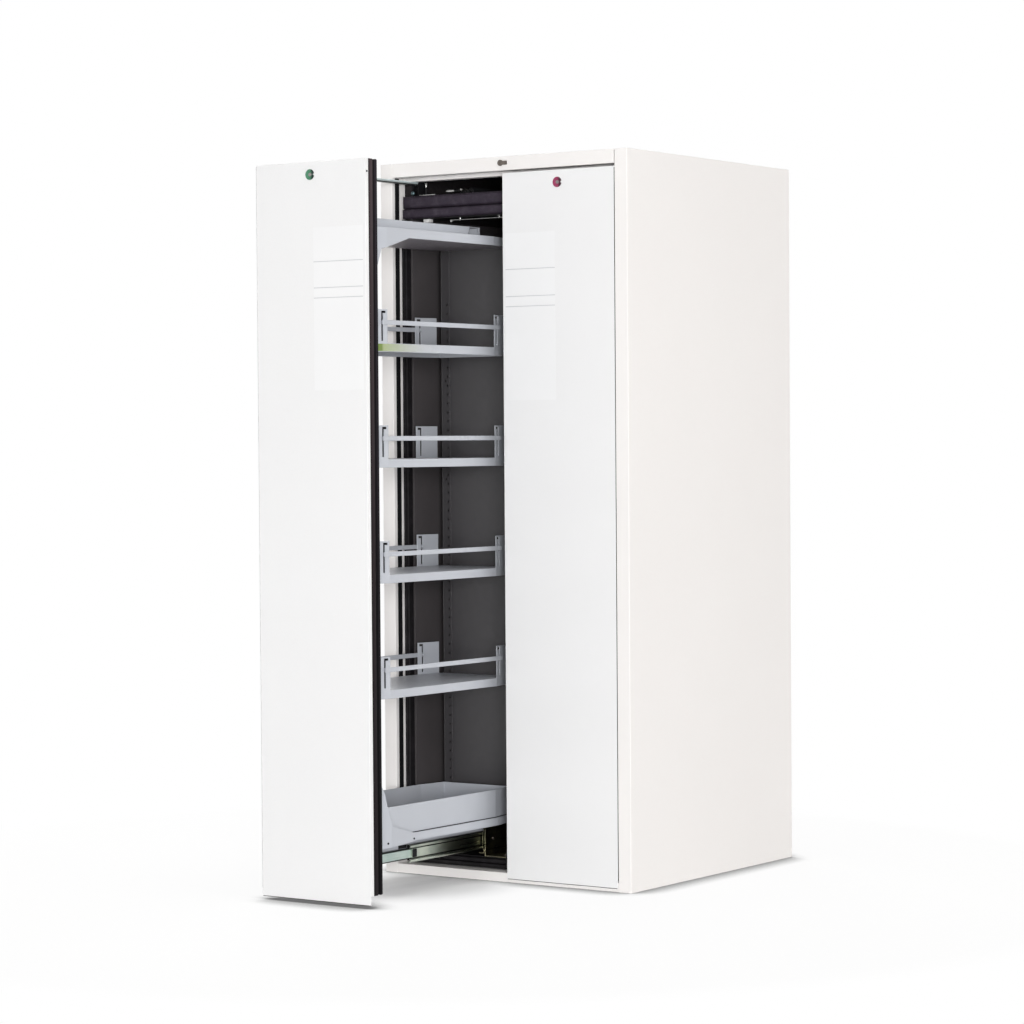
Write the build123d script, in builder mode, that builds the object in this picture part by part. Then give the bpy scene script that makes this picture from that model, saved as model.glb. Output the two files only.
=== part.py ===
import os

from build123d import *

os.makedirs("parts", exist_ok=True)

# Carcass envelope, front toward -Y, floor at Z 0
width = 810
depth = 860
height = 1966
front = -depth / 2
back = depth / 2
sheet = 1.5
edge_return = 40
wall = 65
rear_wall = 62
shell_x = width / 2 - sheet
bend = 2

# Running clearances
slide_gap = 0.3
panel_gap = 2
seal_gap = 0.8
lock_gap = 0.3
duct_gap = 0.3

# Front panel of a drawer, depths measured back from its face
pull_out = 595
panel_inner = 6
panel_bottom = 10
skin = 1.2
skin_bend = 1
skin_return = 13
panel_depth = 53
core_bottom = 33
edge_seal = 20
groove_at = 34
groove_width = 6.5
groove_depth = 4

# Opening of the carcass
side_in = width / 2 - edge_return
panel_outer = side_in - panel_gap
panel_half = (panel_outer - panel_inner) / 2
drawer_x = (panel_outer + panel_inner) / 2
seal_depth = 6
panel_rear_y = front + panel_depth
jamb_y = panel_rear_y + seal_gap + seal_depth
liner_x = width / 2 - wall
rear_liner_y = back - rear_wall
sill_top = 25
sill_setback = 2
floor_top = 56
strip_thick = 1
strip_front = 12.5
strip_wide = 19

# Heights that hang from the roof
fascia_high = 37.3
fascia_gap = 7.7
fascia_deep = 34
lintel_high = 46
lintel_setback = 55
lintel_deep = 30
deck_drop = 90.5
deck_thick = 60.5
fascia_bottom = height - fascia_high
panel_top = fascia_bottom - fascia_gap
lintel_y = front + lintel_setback
lintel_bottom = height - lintel_high
deck_top = height - deck_drop
ceiling = deck_top - deck_thick

# Lips of the opening seals
lip_gap = 1
lip_round = 3.5
lip_rise = 4
upper_lip = 35
lower_lip = 26.5
floor_lip_low = 3
floor_lip_top = 2
jamb_lip_in = 6
jamb_lip = 8
jamb_lip_out = 2

# Drawer frame in plan, depths measured back from the panel face
frame_clear = 21
frame_taper = 23.5
frame_rear_clear = 38
front_run = 97
rear_run = 127
frame_front = panel_depth
front_bend = frame_front + front_run
frame_back = rear_liner_y - frame_rear_clear - front
rear_bend = frame_back - rear_run
frame_half = liner_x - drawer_x - frame_clear
frame_end = frame_half - frame_taper
wing_front = 42
wing_back = 30
wing_inset = 2.3

# Drawer frame in height
tray_drop = 84
hat_drop = 33
tray_flange = 24
base_flange = 21.5
base_tray_z = 147.5
top_tray_z = ceiling - tray_drop
hat_top = ceiling - hat_drop
base_top = base_tray_z + base_flange
hat_side = 31
hat_over = 12
hat_tab = 8.5
hat_window = 60
hat_slope = 21
hat_sill = 2
hat_half = frame_end - hat_side
hat_end = rear_bend + hat_over
gusset_long = 194
gusset_back = frame_front + gusset_long
top_gusset = 131
base_gusset = 212
skirt = 13

# Free edges of the gussets, run back from the front plate and rise from the tray
top_gusset_edge = ((78, 33), (63, 84), (51, 107), (37, top_gusset))
base_gusset_edge = ((101, 48), (84, 98), (75, 136), (47, 188), (29, base_gusset))

# Holes in the wings of the back plate, a long row and one peg hole for each shelf
hole_dia = 6.5
hole_in = 8
hole_low = 57.5
hole_step = 25
hole_spare = 150
peg_in = 16
peg_low = 395
peg_step = 275

# Shelves, guard rails and sump
shelf_first = 551
top_space = 277
shelf_count = 4
shelf_pitch = (top_tray_z - top_space - shelf_first) / (shelf_count - 1)
shelf_flange = 22
shelf_end = 5
bracket_high = 88
bracket_thick = 2
bracket_front = frame_front + 17
bracket_back = frame_back - 47
slot_from_bend = 18
slot_width = 6
slot_low = 6
slot_high = 84
slot_leg = 12
rail_mid = 54
rail_high = 12
rail_thick = 2.5
rail_off = 0.6
rail_past = 8
pin_dia = 5
nut_dia = 10
nut_thick = 3
nut_in = 8.2
sump_past = 28
sump_rear = 90
sump_front = front_bend - sump_past
sump_back = rear_bend + sump_rear
sump_high = 97.5
sump_inset = 7

# Telescopic slides, across from the drawer centre line
slide_out = 74.5
slide_metal = 2.5
slide_mid_z = 99.5
outer_high = 71.5
middle_high = 49
inner_high = 30
slide_beam = 50
inner_face = 60
middle_face = 67
race_wide = 8
race_step = 2
race_play = 1
outer_front_gap = 5
outer_rear_gap = 40
outer_front = panel_rear_y + outer_front_gap
outer_long = rear_liner_y - outer_rear_gap - outer_front
middle_short = 40
middle_long = outer_long - middle_short
middle_lead = 1.56
middle_share = 0.57
inner_short = 47
inner_long = frame_back - inner_short - frame_front
bracket_foot = 145
foot_inset = 2
foot_drop = 6

# Top guide bar and its roller
bar_side = 3
bar_wide = 14
bar_high = 9
bar_gap = 2
bar_short = 70
bar_foot = 23
bar_x = liner_x - bar_side - bar_wide / 2
bar_low = lintel_bottom - bar_gap - bar_high
bar_end = frame_back - bar_short
roller_dia = 17
roller_in = 20
roller_gap = 0.5
roller_y = jamb_y + roller_in

# Locks
lock_drop = 33
lock_z = panel_top - lock_drop
plug_dia = 20
plug_proud = 1.5
plug_deep = 20
cam_long = 32
cam_wide = 12
cam_thick = 3
pocket_dia = 70
key_slot = 8
key_wide = 1.8
key_deep = 2.5
euro_x = 0.5
euro_drop = 17
euro_z = height - euro_drop
euro_dia = 16
euro_tail = 10
euro_long = 29
euro_deep = 32
euro_proud = 3
euro_plug = 12
euro_cam = 14
euro_cam_wide = 8

# Exhaust
spigot_dia = 75
spigot_wall = 1.5
spigot_back = 130
spigot_high = 40
collar_wide = 18
flap_drop = 41
flap_gap = 1
flap_thick = 2.4
spindle_dia = 6
spindle_over = 6
spigot_y = back - spigot_back
spigot_top = height + spigot_high
flap_z = height - flap_drop


def save(part, label):
    part.label = label
    export_step(part, f"parts/{label}.step")


def rect(x0, x1, y0, y1):
    Polygon((x0, y0), (x1, y0), (x1, y1), (x0, y1), align=None)


def facing(y):
    return Plane.XZ.offset(-y)


def reach(d):
    """Half width of the drawer frame at a depth behind the panel face."""
    if d < front_bend:
        share = (front_bend - d) / (front_bend - frame_front)
        return frame_half - (frame_half - frame_end) * share
    if d > rear_bend:
        share = (d - rear_bend) / (frame_back - rear_bend)
        return frame_half - (frame_half - frame_end) * share
    return frame_half


def outline(cx, y0, d0, d1, inset):
    right = [d for d in (d0, front_bend, rear_bend, d1)]
    near = [(cx + reach(d) - inset, y0 + d) for d in right]
    far = [(cx - reach(d) + inset, y0 + d) for d in reversed(right)]
    return near + far


def ribbon(cx, y0, sign, d0, d1, inset, thick):
    bends = [d for d in (front_bend, rear_bend) if d0 < d < d1]
    run = [d0] + bends + [d1]
    outer = [(cx + sign * (reach(d) - inset), y0 + d) for d in run]
    inner = [(cx + sign * (reach(d) - inset - thick), y0 + d) for d in reversed(run)]
    return outer + inner


# Carcass side panels, a folded cassette with the front return
for side, sign in (("left", -1), ("right", 1)):
    hook = [
        (sign * width / 2, front),
        (sign * width / 2, back),
        (sign * (width / 2 - sheet), back),
        (sign * (width / 2 - sheet), front + sheet),
        (sign * (side_in + sheet), front + sheet),
        (sign * (side_in + sheet), jamb_y),
        (sign * side_in, jamb_y),
        (sign * side_in, front),
    ]
    with BuildPart() as side_panel:
        with BuildSketch(Plane.XY):
            Polygon(*hook, align=None)
        extrude(amount=height)
        with BuildSketch(Plane.XY.offset(height - sheet)):
            rect(sign * side_in, sign * (width / 2 - sheet), front + sheet, back)
        extrude(amount=sheet, mode=Mode.SUBTRACT)
        fillet(side_panel.edges().filter_by(Axis.Z).group_by(Axis.Y)[0], radius=bend)
    save(side_panel.part, f"{side}_side_panel")

# Rear panel
with BuildPart() as rear_panel:
    with BuildSketch(Plane.XY):
        rect(-shell_x, shell_x, back - sheet, back)
    extrude(amount=height - sheet)
save(rear_panel.part, "rear_panel")

# Roof panel with turned-down side rims and the exhaust hole
rim = 24
with BuildPart() as roof_panel:
    with BuildSketch(Plane.XY.offset(height - sheet)):
        rect(-shell_x, shell_x, front + sheet, back)
        with Locations((0, spigot_y)):
            Circle(spigot_dia / 2 + duct_gap, mode=Mode.SUBTRACT)
    extrude(amount=sheet)
    with BuildSketch(Plane.XY.offset(height - rim)):
        for sign in (-1, 1):
            rect(sign * (shell_x - sheet), sign * shell_x, jamb_y, back - 2 * sheet)
    extrude(amount=rim - sheet)
save(roof_panel.part, "roof_panel")

# Base frame with the sill along its front edge
sill_y = front + sill_setback
base_plan = [
    (-side_in, sill_y),
    (side_in, sill_y),
    (side_in, jamb_y),
    (shell_x, jamb_y),
    (shell_x, back - sheet),
    (-shell_x, back - sheet),
    (-shell_x, jamb_y),
    (-side_in, jamb_y),
]
base_rib = 30
with BuildPart() as base_frame:
    with BuildSketch(Plane.XY.offset(sill_top - sheet)):
        Polygon(*base_plan, align=None)
    extrude(amount=sheet)
    with BuildSketch(Plane.XY):
        rect(-side_in, side_in, sill_y, sill_y + sheet)
        rect(-shell_x, shell_x, back - base_rib, back - sheet)
        rect(-base_rib, base_rib, sill_y + sheet, back - base_rib)
    extrude(amount=sill_top - sheet)
save(base_frame.part, "base_frame")

# Pads the base stands on
pad_dia = 60
pad_side = 63.5
pad_front = 100
pad_rear = 70
pad_x = shell_x - pad_side
pad_rows = (front + pad_front, back - pad_rear)
with BuildPart() as base_pads:
    with BuildSketch(Plane.XY):
        with Locations([(x, y) for x in (-pad_x, pad_x) for y in pad_rows]):
            Circle(pad_dia / 2)
    extrude(amount=sill_top - sheet)
save(base_pads.part, "base_pads")

# Fascia, a channel that carries the central lock
fascia_side = 1
fascia_x = side_in - fascia_side
euro_slot = euro_tail / 2 + lock_gap
fascia_top = height - sheet
with BuildPart() as fascia:
    with BuildSketch(Plane.YZ.offset(-fascia_x)):
        rect(front, front + sheet, fascia_bottom, height)
        rect(front, front + fascia_deep, fascia_bottom, fascia_bottom + sheet)
        rect(front, front + fascia_deep, fascia_top - sheet, fascia_top)
    extrude(amount=2 * fascia_x)
    with BuildSketch(facing(front + sheet)):
        with Locations((euro_x, euro_z)):
            Circle(euro_dia / 2 + lock_gap)
        rect(euro_x, euro_x + euro_long - euro_dia / 2 + lock_gap, euro_z - euro_slot, euro_z + euro_slot)
    extrude(amount=sheet, mode=Mode.SUBTRACT)
    fillet(fascia.edges().filter_by(Axis.X).group_by(Axis.Z)[0].sort_by(Axis.Y)[0], radius=skin_bend)
save(fascia.part, "fascia")

# Lintel behind the fascia
with BuildPart() as lintel:
    with BuildSketch(Plane.YZ.offset(-side_in)):
        rect(lintel_y, lintel_y + sheet, lintel_bottom, fascia_top)
        rect(lintel_y, lintel_y + lintel_deep, lintel_bottom, lintel_bottom + sheet)
    extrude(amount=2 * side_in)
    with BuildSketch(Plane.YZ.offset(-side_in)):
        rect(jamb_y, lintel_y + lintel_deep, lintel_bottom, lintel_bottom + sheet)
    extrude(amount=side_in - liner_x, mode=Mode.SUBTRACT)
    with BuildSketch(Plane.YZ.offset(liner_x)):
        rect(jamb_y, lintel_y + lintel_deep, lintel_bottom, lintel_bottom + sheet)
    extrude(amount=side_in - liner_x, mode=Mode.SUBTRACT)
save(lintel.part, "lintel")

# Fire insulation boards between shell and liner
board_gap = 0.2
board_x = liner_x + sheet
board_back = rear_liner_y + sheet
board_front = jamb_y + sheet
board_top = fascia_top - sheet
with BuildPart() as insulation_boards:
    with BuildSketch(Plane.XY.offset(sill_top)):
        for sign in (-1, 1):
            Polygon(
                (sign * (side_in + sheet), front + sheet),
                (sign * (shell_x - sheet), front + sheet),
                (sign * (shell_x - sheet), back - sheet),
                (sign * board_x, back - sheet),
                (sign * board_x, board_front),
                (sign * (side_in + sheet), board_front),
                align=None,
            )
    extrude(amount=board_top - sill_top)
    with BuildSketch(Plane.XY.offset(sill_top)):
        rect(-board_x + board_gap, board_x - board_gap, board_back, back - sheet)
    extrude(amount=board_top - sill_top)
    with BuildSketch(Plane.XY.offset(sill_top)):
        rect(-liner_x, liner_x, board_front, rear_liner_y)
    extrude(amount=floor_top - sheet - sill_top)
    with BuildSketch(Plane.XY.offset(ceiling + sheet)):
        rect(-liner_x, liner_x, board_front, rear_liner_y)
        with Locations((0, spigot_y)):
            Circle(spigot_dia / 2 + duct_gap, mode=Mode.SUBTRACT)
    extrude(amount=deck_top - 2 * sheet - ceiling)
save(insulation_boards.part, "insulation_boards")

# Side and rear liners, the side ones turned outward at the jamb
with BuildPart() as wall_liners:
    with BuildSketch(Plane.XY.offset(sill_top)):
        for sign in (-1, 1):
            Polygon(
                (sign * liner_x, jamb_y),
                (sign * (side_in + sheet), jamb_y),
                (sign * (side_in + sheet), board_front),
                (sign * board_x, board_front),
                (sign * board_x, rear_liner_y - slide_gap),
                (sign * liner_x, rear_liner_y - slide_gap),
                align=None,
            )
    extrude(amount=deck_top - sill_top)
    with BuildSketch(Plane.XY.offset(floor_top)):
        rect(-liner_x, liner_x, rear_liner_y, rear_liner_y + sheet)
    extrude(amount=ceiling - floor_top)
save(wall_liners.part, "wall_liners")

# Floor and ceiling liners, each folded round its board at the front
with BuildPart() as deck_liners:
    with BuildSketch(Plane.YZ.offset(-liner_x)):
        rect(jamb_y, rear_liner_y, floor_top - sheet, floor_top)
        rect(jamb_y, board_front, sill_top, floor_top)
        rect(jamb_y, rear_liner_y, ceiling, ceiling + sheet)
        rect(jamb_y, board_front, ceiling, deck_top)
        rect(jamb_y, rear_liner_y, deck_top - sheet, deck_top)
    extrude(amount=2 * liner_x)
    with BuildSketch(Plane.XY.offset(ceiling)):
        with Locations((0, spigot_y)):
            Circle(spigot_dia / 2 + duct_gap)
    extrude(amount=deck_top - ceiling, mode=Mode.SUBTRACT)
save(deck_liners.part, "deck_liners")

# Post between the two drawers
post_half = 24
post_deep = 46
with BuildPart() as centre_post:
    with BuildSketch(Plane.XY.offset(floor_top)):
        rect(-post_half, post_half, jamb_y, jamb_y + post_deep)
        rect(-post_half + sheet, post_half - sheet, jamb_y + sheet, jamb_y + post_deep - sheet)
    extrude(amount=ceiling - floor_top)
    with BuildSketch(Plane.XY.offset(floor_top)):
        rect(-post_half + sheet, post_half - sheet, jamb_y + sheet, jamb_y + post_deep - sheet)
    extrude(amount=ceiling - floor_top, mode=Mode.SUBTRACT)
save(centre_post.part, "centre_post")

# Seals round the opening, double lips that the panels close on
seal_y = jamb_y - seal_depth
seal_end = side_in - lip_gap
upper_top = deck_top + lip_rise
upper_z = upper_top - upper_lip
floor_z = sill_top + floor_lip_low
floor_end = floor_top - floor_lip_top
floor_lip = (floor_end - floor_z - lip_gap) / 2
jamb_x = liner_x + jamb_lip_in
lintel_lips = ((upper_z, upper_top), (upper_z - lip_gap - lower_lip, upper_z - lip_gap))
floor_lips = ((floor_z, floor_z + floor_lip), (floor_end - floor_lip, floor_end))
jamb_lips = ((jamb_x, jamb_x + jamb_lip), (jamb_x + jamb_lip + lip_gap, side_in - jamb_lip_out))
post_lips = ((lip_gap, post_half - lip_gap),)
strip_y = front + strip_front
with BuildPart() as opening_seals:
    with BuildSketch(Plane.YZ.offset(-seal_end)) as lips:
        for low, high in lintel_lips + floor_lips:
            rect(seal_y, jamb_y, low, high)
        fillet(lips.vertices().group_by(Axis.X)[0], radius=lip_round)
    extrude(amount=2 * seal_end)
    with BuildSketch(Plane.XY.offset(floor_top)) as uprights:
        for sign in (-1, 1):
            for low, high in jamb_lips + post_lips:
                rect(sign * low, sign * high, seal_y, jamb_y)
        fillet(uprights.vertices().group_by(Axis.Y)[0], radius=lip_round)
    extrude(amount=ceiling - floor_top)
    with BuildSketch(Plane.XY.offset(core_bottom)):
        for sign in (-1, 1):
            rect(sign * (side_in - strip_thick), sign * side_in, strip_y, strip_y + strip_wide)
    extrude(amount=lintel_bottom - core_bottom)
save(opening_seals.part, "opening_seals")

# Exhaust spigot with its roof collar
with BuildPart() as exhaust_spigot:
    with BuildSketch(Plane.XY.offset(ceiling)):
        with Locations((0, spigot_y)):
            Circle(spigot_dia / 2)
    extrude(amount=spigot_top - ceiling)
    with BuildSketch(Plane.XY.offset(height)):
        with Locations((0, spigot_y)):
            Circle(spigot_dia / 2 + collar_wide)
    extrude(amount=sheet)
    with BuildSketch(Plane.XY.offset(ceiling)):
        with Locations((0, spigot_y)):
            Circle(spigot_dia / 2 - spigot_wall)
    extrude(amount=spigot_top - ceiling, mode=Mode.SUBTRACT)
    with BuildSketch(Plane.YZ.offset(-spigot_dia)):
        with Locations((spigot_y, flap_z)):
            Circle(spindle_dia / 2 + slide_gap)
    extrude(amount=2 * spigot_dia, mode=Mode.SUBTRACT)
save(exhaust_spigot.part, "exhaust_spigot")

# Fire damper flap on its spindle, open at rest
flap_dia = spigot_dia - 2 * spigot_wall - 2 * flap_gap
with BuildPart() as damper_flap:
    with BuildSketch(facing(spigot_y + flap_thick / 2)):
        with Locations((0, flap_z)):
            Circle(flap_dia / 2)
    extrude(amount=flap_thick)
    with BuildSketch(Plane.YZ.offset(-spigot_dia / 2 - spindle_over)):
        with Locations((spigot_y, flap_z)):
            Circle(spindle_dia / 2)
    extrude(amount=spigot_dia + 2 * spindle_over)
save(damper_flap.part, "damper_flap")

# Fixed slide members and the angle brackets they are screwed to
slide_low = slide_mid_z - outer_high / 2
slide_high = slide_mid_z + outer_high / 2
middle_low = slide_mid_z - middle_high / 2
middle_top = slide_mid_z + middle_high / 2
inner_low = slide_mid_z - inner_high / 2
inner_top = slide_mid_z + inner_high / 2
centres = (-drawer_x, drawer_x)
outer_web = slide_out - slide_metal
race_out = middle_face - race_play
with BuildPart() as slide_outers:
    with BuildSketch(facing(outer_front + outer_long)):
        for cx in centres:
            for sign in (-1, 1):
                web = cx + sign * outer_web
                face = cx + sign * slide_out
                lip = cx + sign * (race_out - race_wide - slide_metal)
                race = cx + sign * (race_out - race_wide)
                stop = cx + sign * race_out
                rect(web, face, slide_low, slide_high)
                rect(lip, face, slide_low, slide_low + slide_metal)
                rect(lip, face, slide_high - slide_metal, slide_high)
                rect(race, stop, slide_low, middle_low - slide_gap)
                rect(race, stop, middle_top + slide_gap, slide_high)
    extrude(amount=outer_long)
save(slide_outers.part, "slide_outers")

foot_start = outer_front + foot_inset
foot_long = outer_long - 2 * foot_inset
with BuildPart() as slide_brackets:
    with BuildSketch(facing(foot_start + foot_long)):
        for cx in centres:
            for sign in (-1, 1):
                face = cx + sign * slide_out
                rect(face, cx + sign * (slide_out + slide_metal), floor_top, slide_high - foot_drop)
                rect(face, cx + sign * bracket_foot, floor_top, floor_top + slide_metal)
    extrude(amount=foot_long)
save(slide_brackets.part, "slide_brackets")

# Closing gear on the deck above the compartment
damper_dia = 22
damper_rise = 15
damper_in = 60
damper_long = 350
damper_z = deck_top + damper_rise
damper_front = jamb_y + damper_in
damper_back = damper_front + damper_long
rod_dia = 8
rod_in = 8
saddle = 28
saddle_deep = 12
saddle_in = 34
saddle_step = 50
saddles = (jamb_y + saddle_in, damper_front + saddle_step, damper_back - saddle_step)
cheek = 2
cheek_deep = 24
cheek_drop = 4
roller_z = bar_low - roller_gap - roller_dia / 2
release_in = 12
release_long = 58
with BuildPart() as closing_gear:
    for sign in (-1, 1):
        with BuildSketch(facing(damper_back)):
            with Locations((sign * drawer_x, damper_z)):
                Circle(damper_dia / 2)
        extrude(amount=damper_long)
        with BuildSketch(facing(damper_back)):
            with Locations((sign * drawer_x, damper_z)):
                Circle(rod_dia / 2)
        extrude(amount=damper_back - jamb_y - rod_in)
        for y in saddles:
            with BuildSketch(facing(y + saddle_deep)):
                rect(sign * drawer_x - saddle / 2, sign * drawer_x + saddle / 2, deck_top, damper_z)
            extrude(amount=saddle_deep)
        for x in (bar_x - bar_wide / 2 - cheek, bar_x + bar_wide / 2 - cheek):
            with BuildSketch(Plane.XY.offset(deck_top)):
                rect(sign * x, sign * (x + cheek), roller_y - cheek_deep / 2, roller_y + cheek_deep / 2)
            extrude(amount=bar_low - cheek_drop - deck_top)
        with BuildSketch(Plane.YZ.offset(sign * bar_x - bar_wide / 2)):
            with Locations((roller_y, roller_z)):
                Circle(roller_dia / 2)
        extrude(amount=bar_wide - cheek)
        with BuildSketch(Plane.YZ.offset(sign * bar_x - release_long * (1 + sign) / 2)):
            with Locations((jamb_y + release_in, deck_top + rod_dia / 2)):
                Circle(rod_dia / 2)
        extrude(amount=release_long)
save(closing_gear.part, "closing_gear")

# Central lock in the fascia
euro_tail_centre = euro_x + euro_long - euro_dia / 2 - euro_tail / 2
euro_front = front - euro_proud
euro_back = euro_front + euro_deep
with BuildPart() as fascia_lock_housing:
    with BuildSketch(facing(euro_back)):
        with Locations((euro_x, euro_z)):
            Circle(euro_dia / 2)
        rect(euro_x, euro_tail_centre, euro_z - euro_tail / 2, euro_z + euro_tail / 2)
        with Locations((euro_tail_centre, euro_z)):
            Circle(euro_tail / 2)
        with Locations((euro_x, euro_z)):
            Circle(euro_plug / 2 + lock_gap, mode=Mode.SUBTRACT)
    extrude(amount=euro_deep)
save(fascia_lock_housing.part, "fascia_lock_housing")

with BuildPart() as fascia_lock_plug:
    with BuildSketch(facing(euro_back + lock_gap)):
        with Locations((euro_x, euro_z)):
            Circle(euro_plug / 2)
    extrude(amount=euro_deep + lock_gap)
    with BuildSketch(facing(euro_back + lock_gap + cam_thick)):
        cam_half = euro_cam_wide / 2
        rect(euro_x - cam_half, euro_x + cam_half, euro_z - euro_cam, euro_z + euro_plug / 2)
    extrude(amount=cam_thick)
    with BuildSketch(facing(euro_front + key_deep)):
        rect(euro_x - key_wide / 2, euro_x + key_wide / 2, euro_z - key_slot / 2, euro_z + key_slot / 2)
    extrude(amount=key_deep, mode=Mode.SUBTRACT)
save(fascia_lock_plug.part, "fascia_lock_plug")


def front_panel(side, cx, y0):
    x0 = cx - panel_half
    x1 = cx + panel_half
    with BuildPart() as front_skin:
        with BuildSketch(facing(y0 + skin_return)):
            rect(x0, x1, core_bottom, panel_top)
        extrude(amount=skin_return)
        with BuildSketch(facing(y0 + skin_return)):
            rect(x0 + skin, x1 - skin, core_bottom, panel_top - skin)
        extrude(amount=skin_return - skin, mode=Mode.SUBTRACT)
        with BuildSketch(facing(y0 + skin)):
            rect(x0, x1, panel_bottom, core_bottom)
        extrude(amount=skin)
        with BuildSketch(facing(y0 + skin)):
            with Locations((cx, lock_z)):
                Circle(plug_dia / 2 + lock_gap)
        extrude(amount=skin, mode=Mode.SUBTRACT)
        rim = front_skin.faces().filter_by(Axis.Y).sort_by(Axis.Y)[0].outer_wire()
        fillet(rim.edges(), radius=skin_bend)
    save(front_skin.part, f"{side}_front_skin")

    with BuildPart() as front_insulation:
        with BuildSketch(facing(y0 + skin_return)):
            rect(x0 + skin, x1 - skin, core_bottom, panel_top - skin)
        extrude(amount=skin_return - skin)
        with BuildSketch(facing(y0 + panel_depth - sheet)):
            rect(x0 + edge_seal, x1 - edge_seal, core_bottom + edge_seal, panel_top - edge_seal)
        extrude(amount=panel_depth - sheet - skin_return)
        with BuildSketch(facing(y0 + skin + plug_deep + 2 * cam_thick)):
            with Locations((cx, lock_z)):
                Circle(pocket_dia / 2)
        extrude(amount=plug_deep + 2 * cam_thick, mode=Mode.SUBTRACT)
    save(front_insulation.part, f"{side}_front_insulation")

    with BuildPart() as front_seal:
        with BuildSketch(facing(y0 + panel_depth)):
            rect(x0, x1, core_bottom, panel_top)
        extrude(amount=panel_depth - skin_return)
        with BuildSketch(facing(y0 + groove_at + groove_width)):
            rect(x0, x1, core_bottom, panel_top)
        extrude(amount=groove_width, mode=Mode.SUBTRACT)
        with BuildSketch(facing(y0 + groove_at + groove_width)):
            rect(x0 + groove_depth, x1 - groove_depth, core_bottom + groove_depth, panel_top - groove_depth)
        extrude(amount=groove_width)
        with BuildSketch(facing(y0 + panel_depth)):
            rect(x0 + edge_seal, x1 - edge_seal, core_bottom + edge_seal, panel_top - edge_seal)
        extrude(amount=panel_depth - skin_return, mode=Mode.SUBTRACT)
        with BuildSketch(facing(y0 + skin + plug_deep + 2 * cam_thick)):
            with Locations((cx, lock_z)):
                Circle(pocket_dia / 2)
        extrude(amount=plug_deep + 2 * cam_thick, mode=Mode.SUBTRACT)
    save(front_seal.part, f"{side}_front_seal")

    with BuildPart() as lock_core:
        with BuildSketch(facing(y0 + plug_deep)):
            with Locations((cx, lock_z)):
                Circle(plug_dia / 2)
        extrude(amount=plug_deep + plug_proud)
        with BuildSketch(facing(y0 + plug_deep + cam_thick)):
            rect(cx - cam_wide / 2, cx + cam_wide / 2, lock_z - cam_long, lock_z + plug_dia / 2)
        extrude(amount=cam_thick)
        with BuildSketch(facing(y0 - plug_proud + key_deep)):
            rect(cx - key_slot / 2, cx + key_slot / 2, lock_z - key_wide / 2, lock_z + key_wide / 2)
        extrude(amount=key_deep, mode=Mode.SUBTRACT)
    save(lock_core.part, f"{side}_lock_core")


def uprights_of(side, cx, y0):
    web_half = panel_half - edge_seal
    with BuildPart() as front_plate:
        with BuildSketch(facing(y0 + panel_depth)):
            rect(cx - web_half, cx + web_half, core_bottom + edge_seal, panel_top - edge_seal)
        extrude(amount=sheet)
        with BuildSketch(Plane.XY.offset(base_top)):
            for sign in (-1, 1):
                wing_end = frame_front + wing_front
                Polygon(*ribbon(cx, y0, sign, frame_front, wing_end, wing_inset, sheet), align=None)
        extrude(amount=top_tray_z - base_top)
    save(front_plate.part, f"{side}_front_plate")

    hole_first = base_tray_z + hole_low
    hole_rows = int((top_tray_z - hole_spare - hole_first) // hole_step) + 1
    row = [(y0 + frame_back - hole_in, hole_first + hole_step * n) for n in range(hole_rows)]
    pegs = [(y0 + frame_back - peg_in, base_tray_z + peg_low + peg_step * n) for n in range(shelf_count)]
    with BuildPart() as back_plate:
        with BuildSketch(facing(y0 + frame_back + sheet)):
            rect(cx - frame_end, cx + frame_end, base_tray_z, top_tray_z + tray_flange)
        extrude(amount=sheet)
        with BuildSketch(Plane.XY.offset(base_top)):
            for sign in (-1, 1):
                wing_start = frame_back - wing_back
                Polygon(*ribbon(cx, y0, sign, wing_start, frame_back, wing_inset, sheet), align=None)
        extrude(amount=top_tray_z - base_top)
        with BuildSketch(Plane.YZ.offset(cx - frame_half)):
            with Locations(row + pegs):
                Circle(hole_dia / 2)
        extrude(amount=2 * frame_half, mode=Mode.SUBTRACT)
    save(back_plate.part, f"{side}_back_plate")


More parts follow.
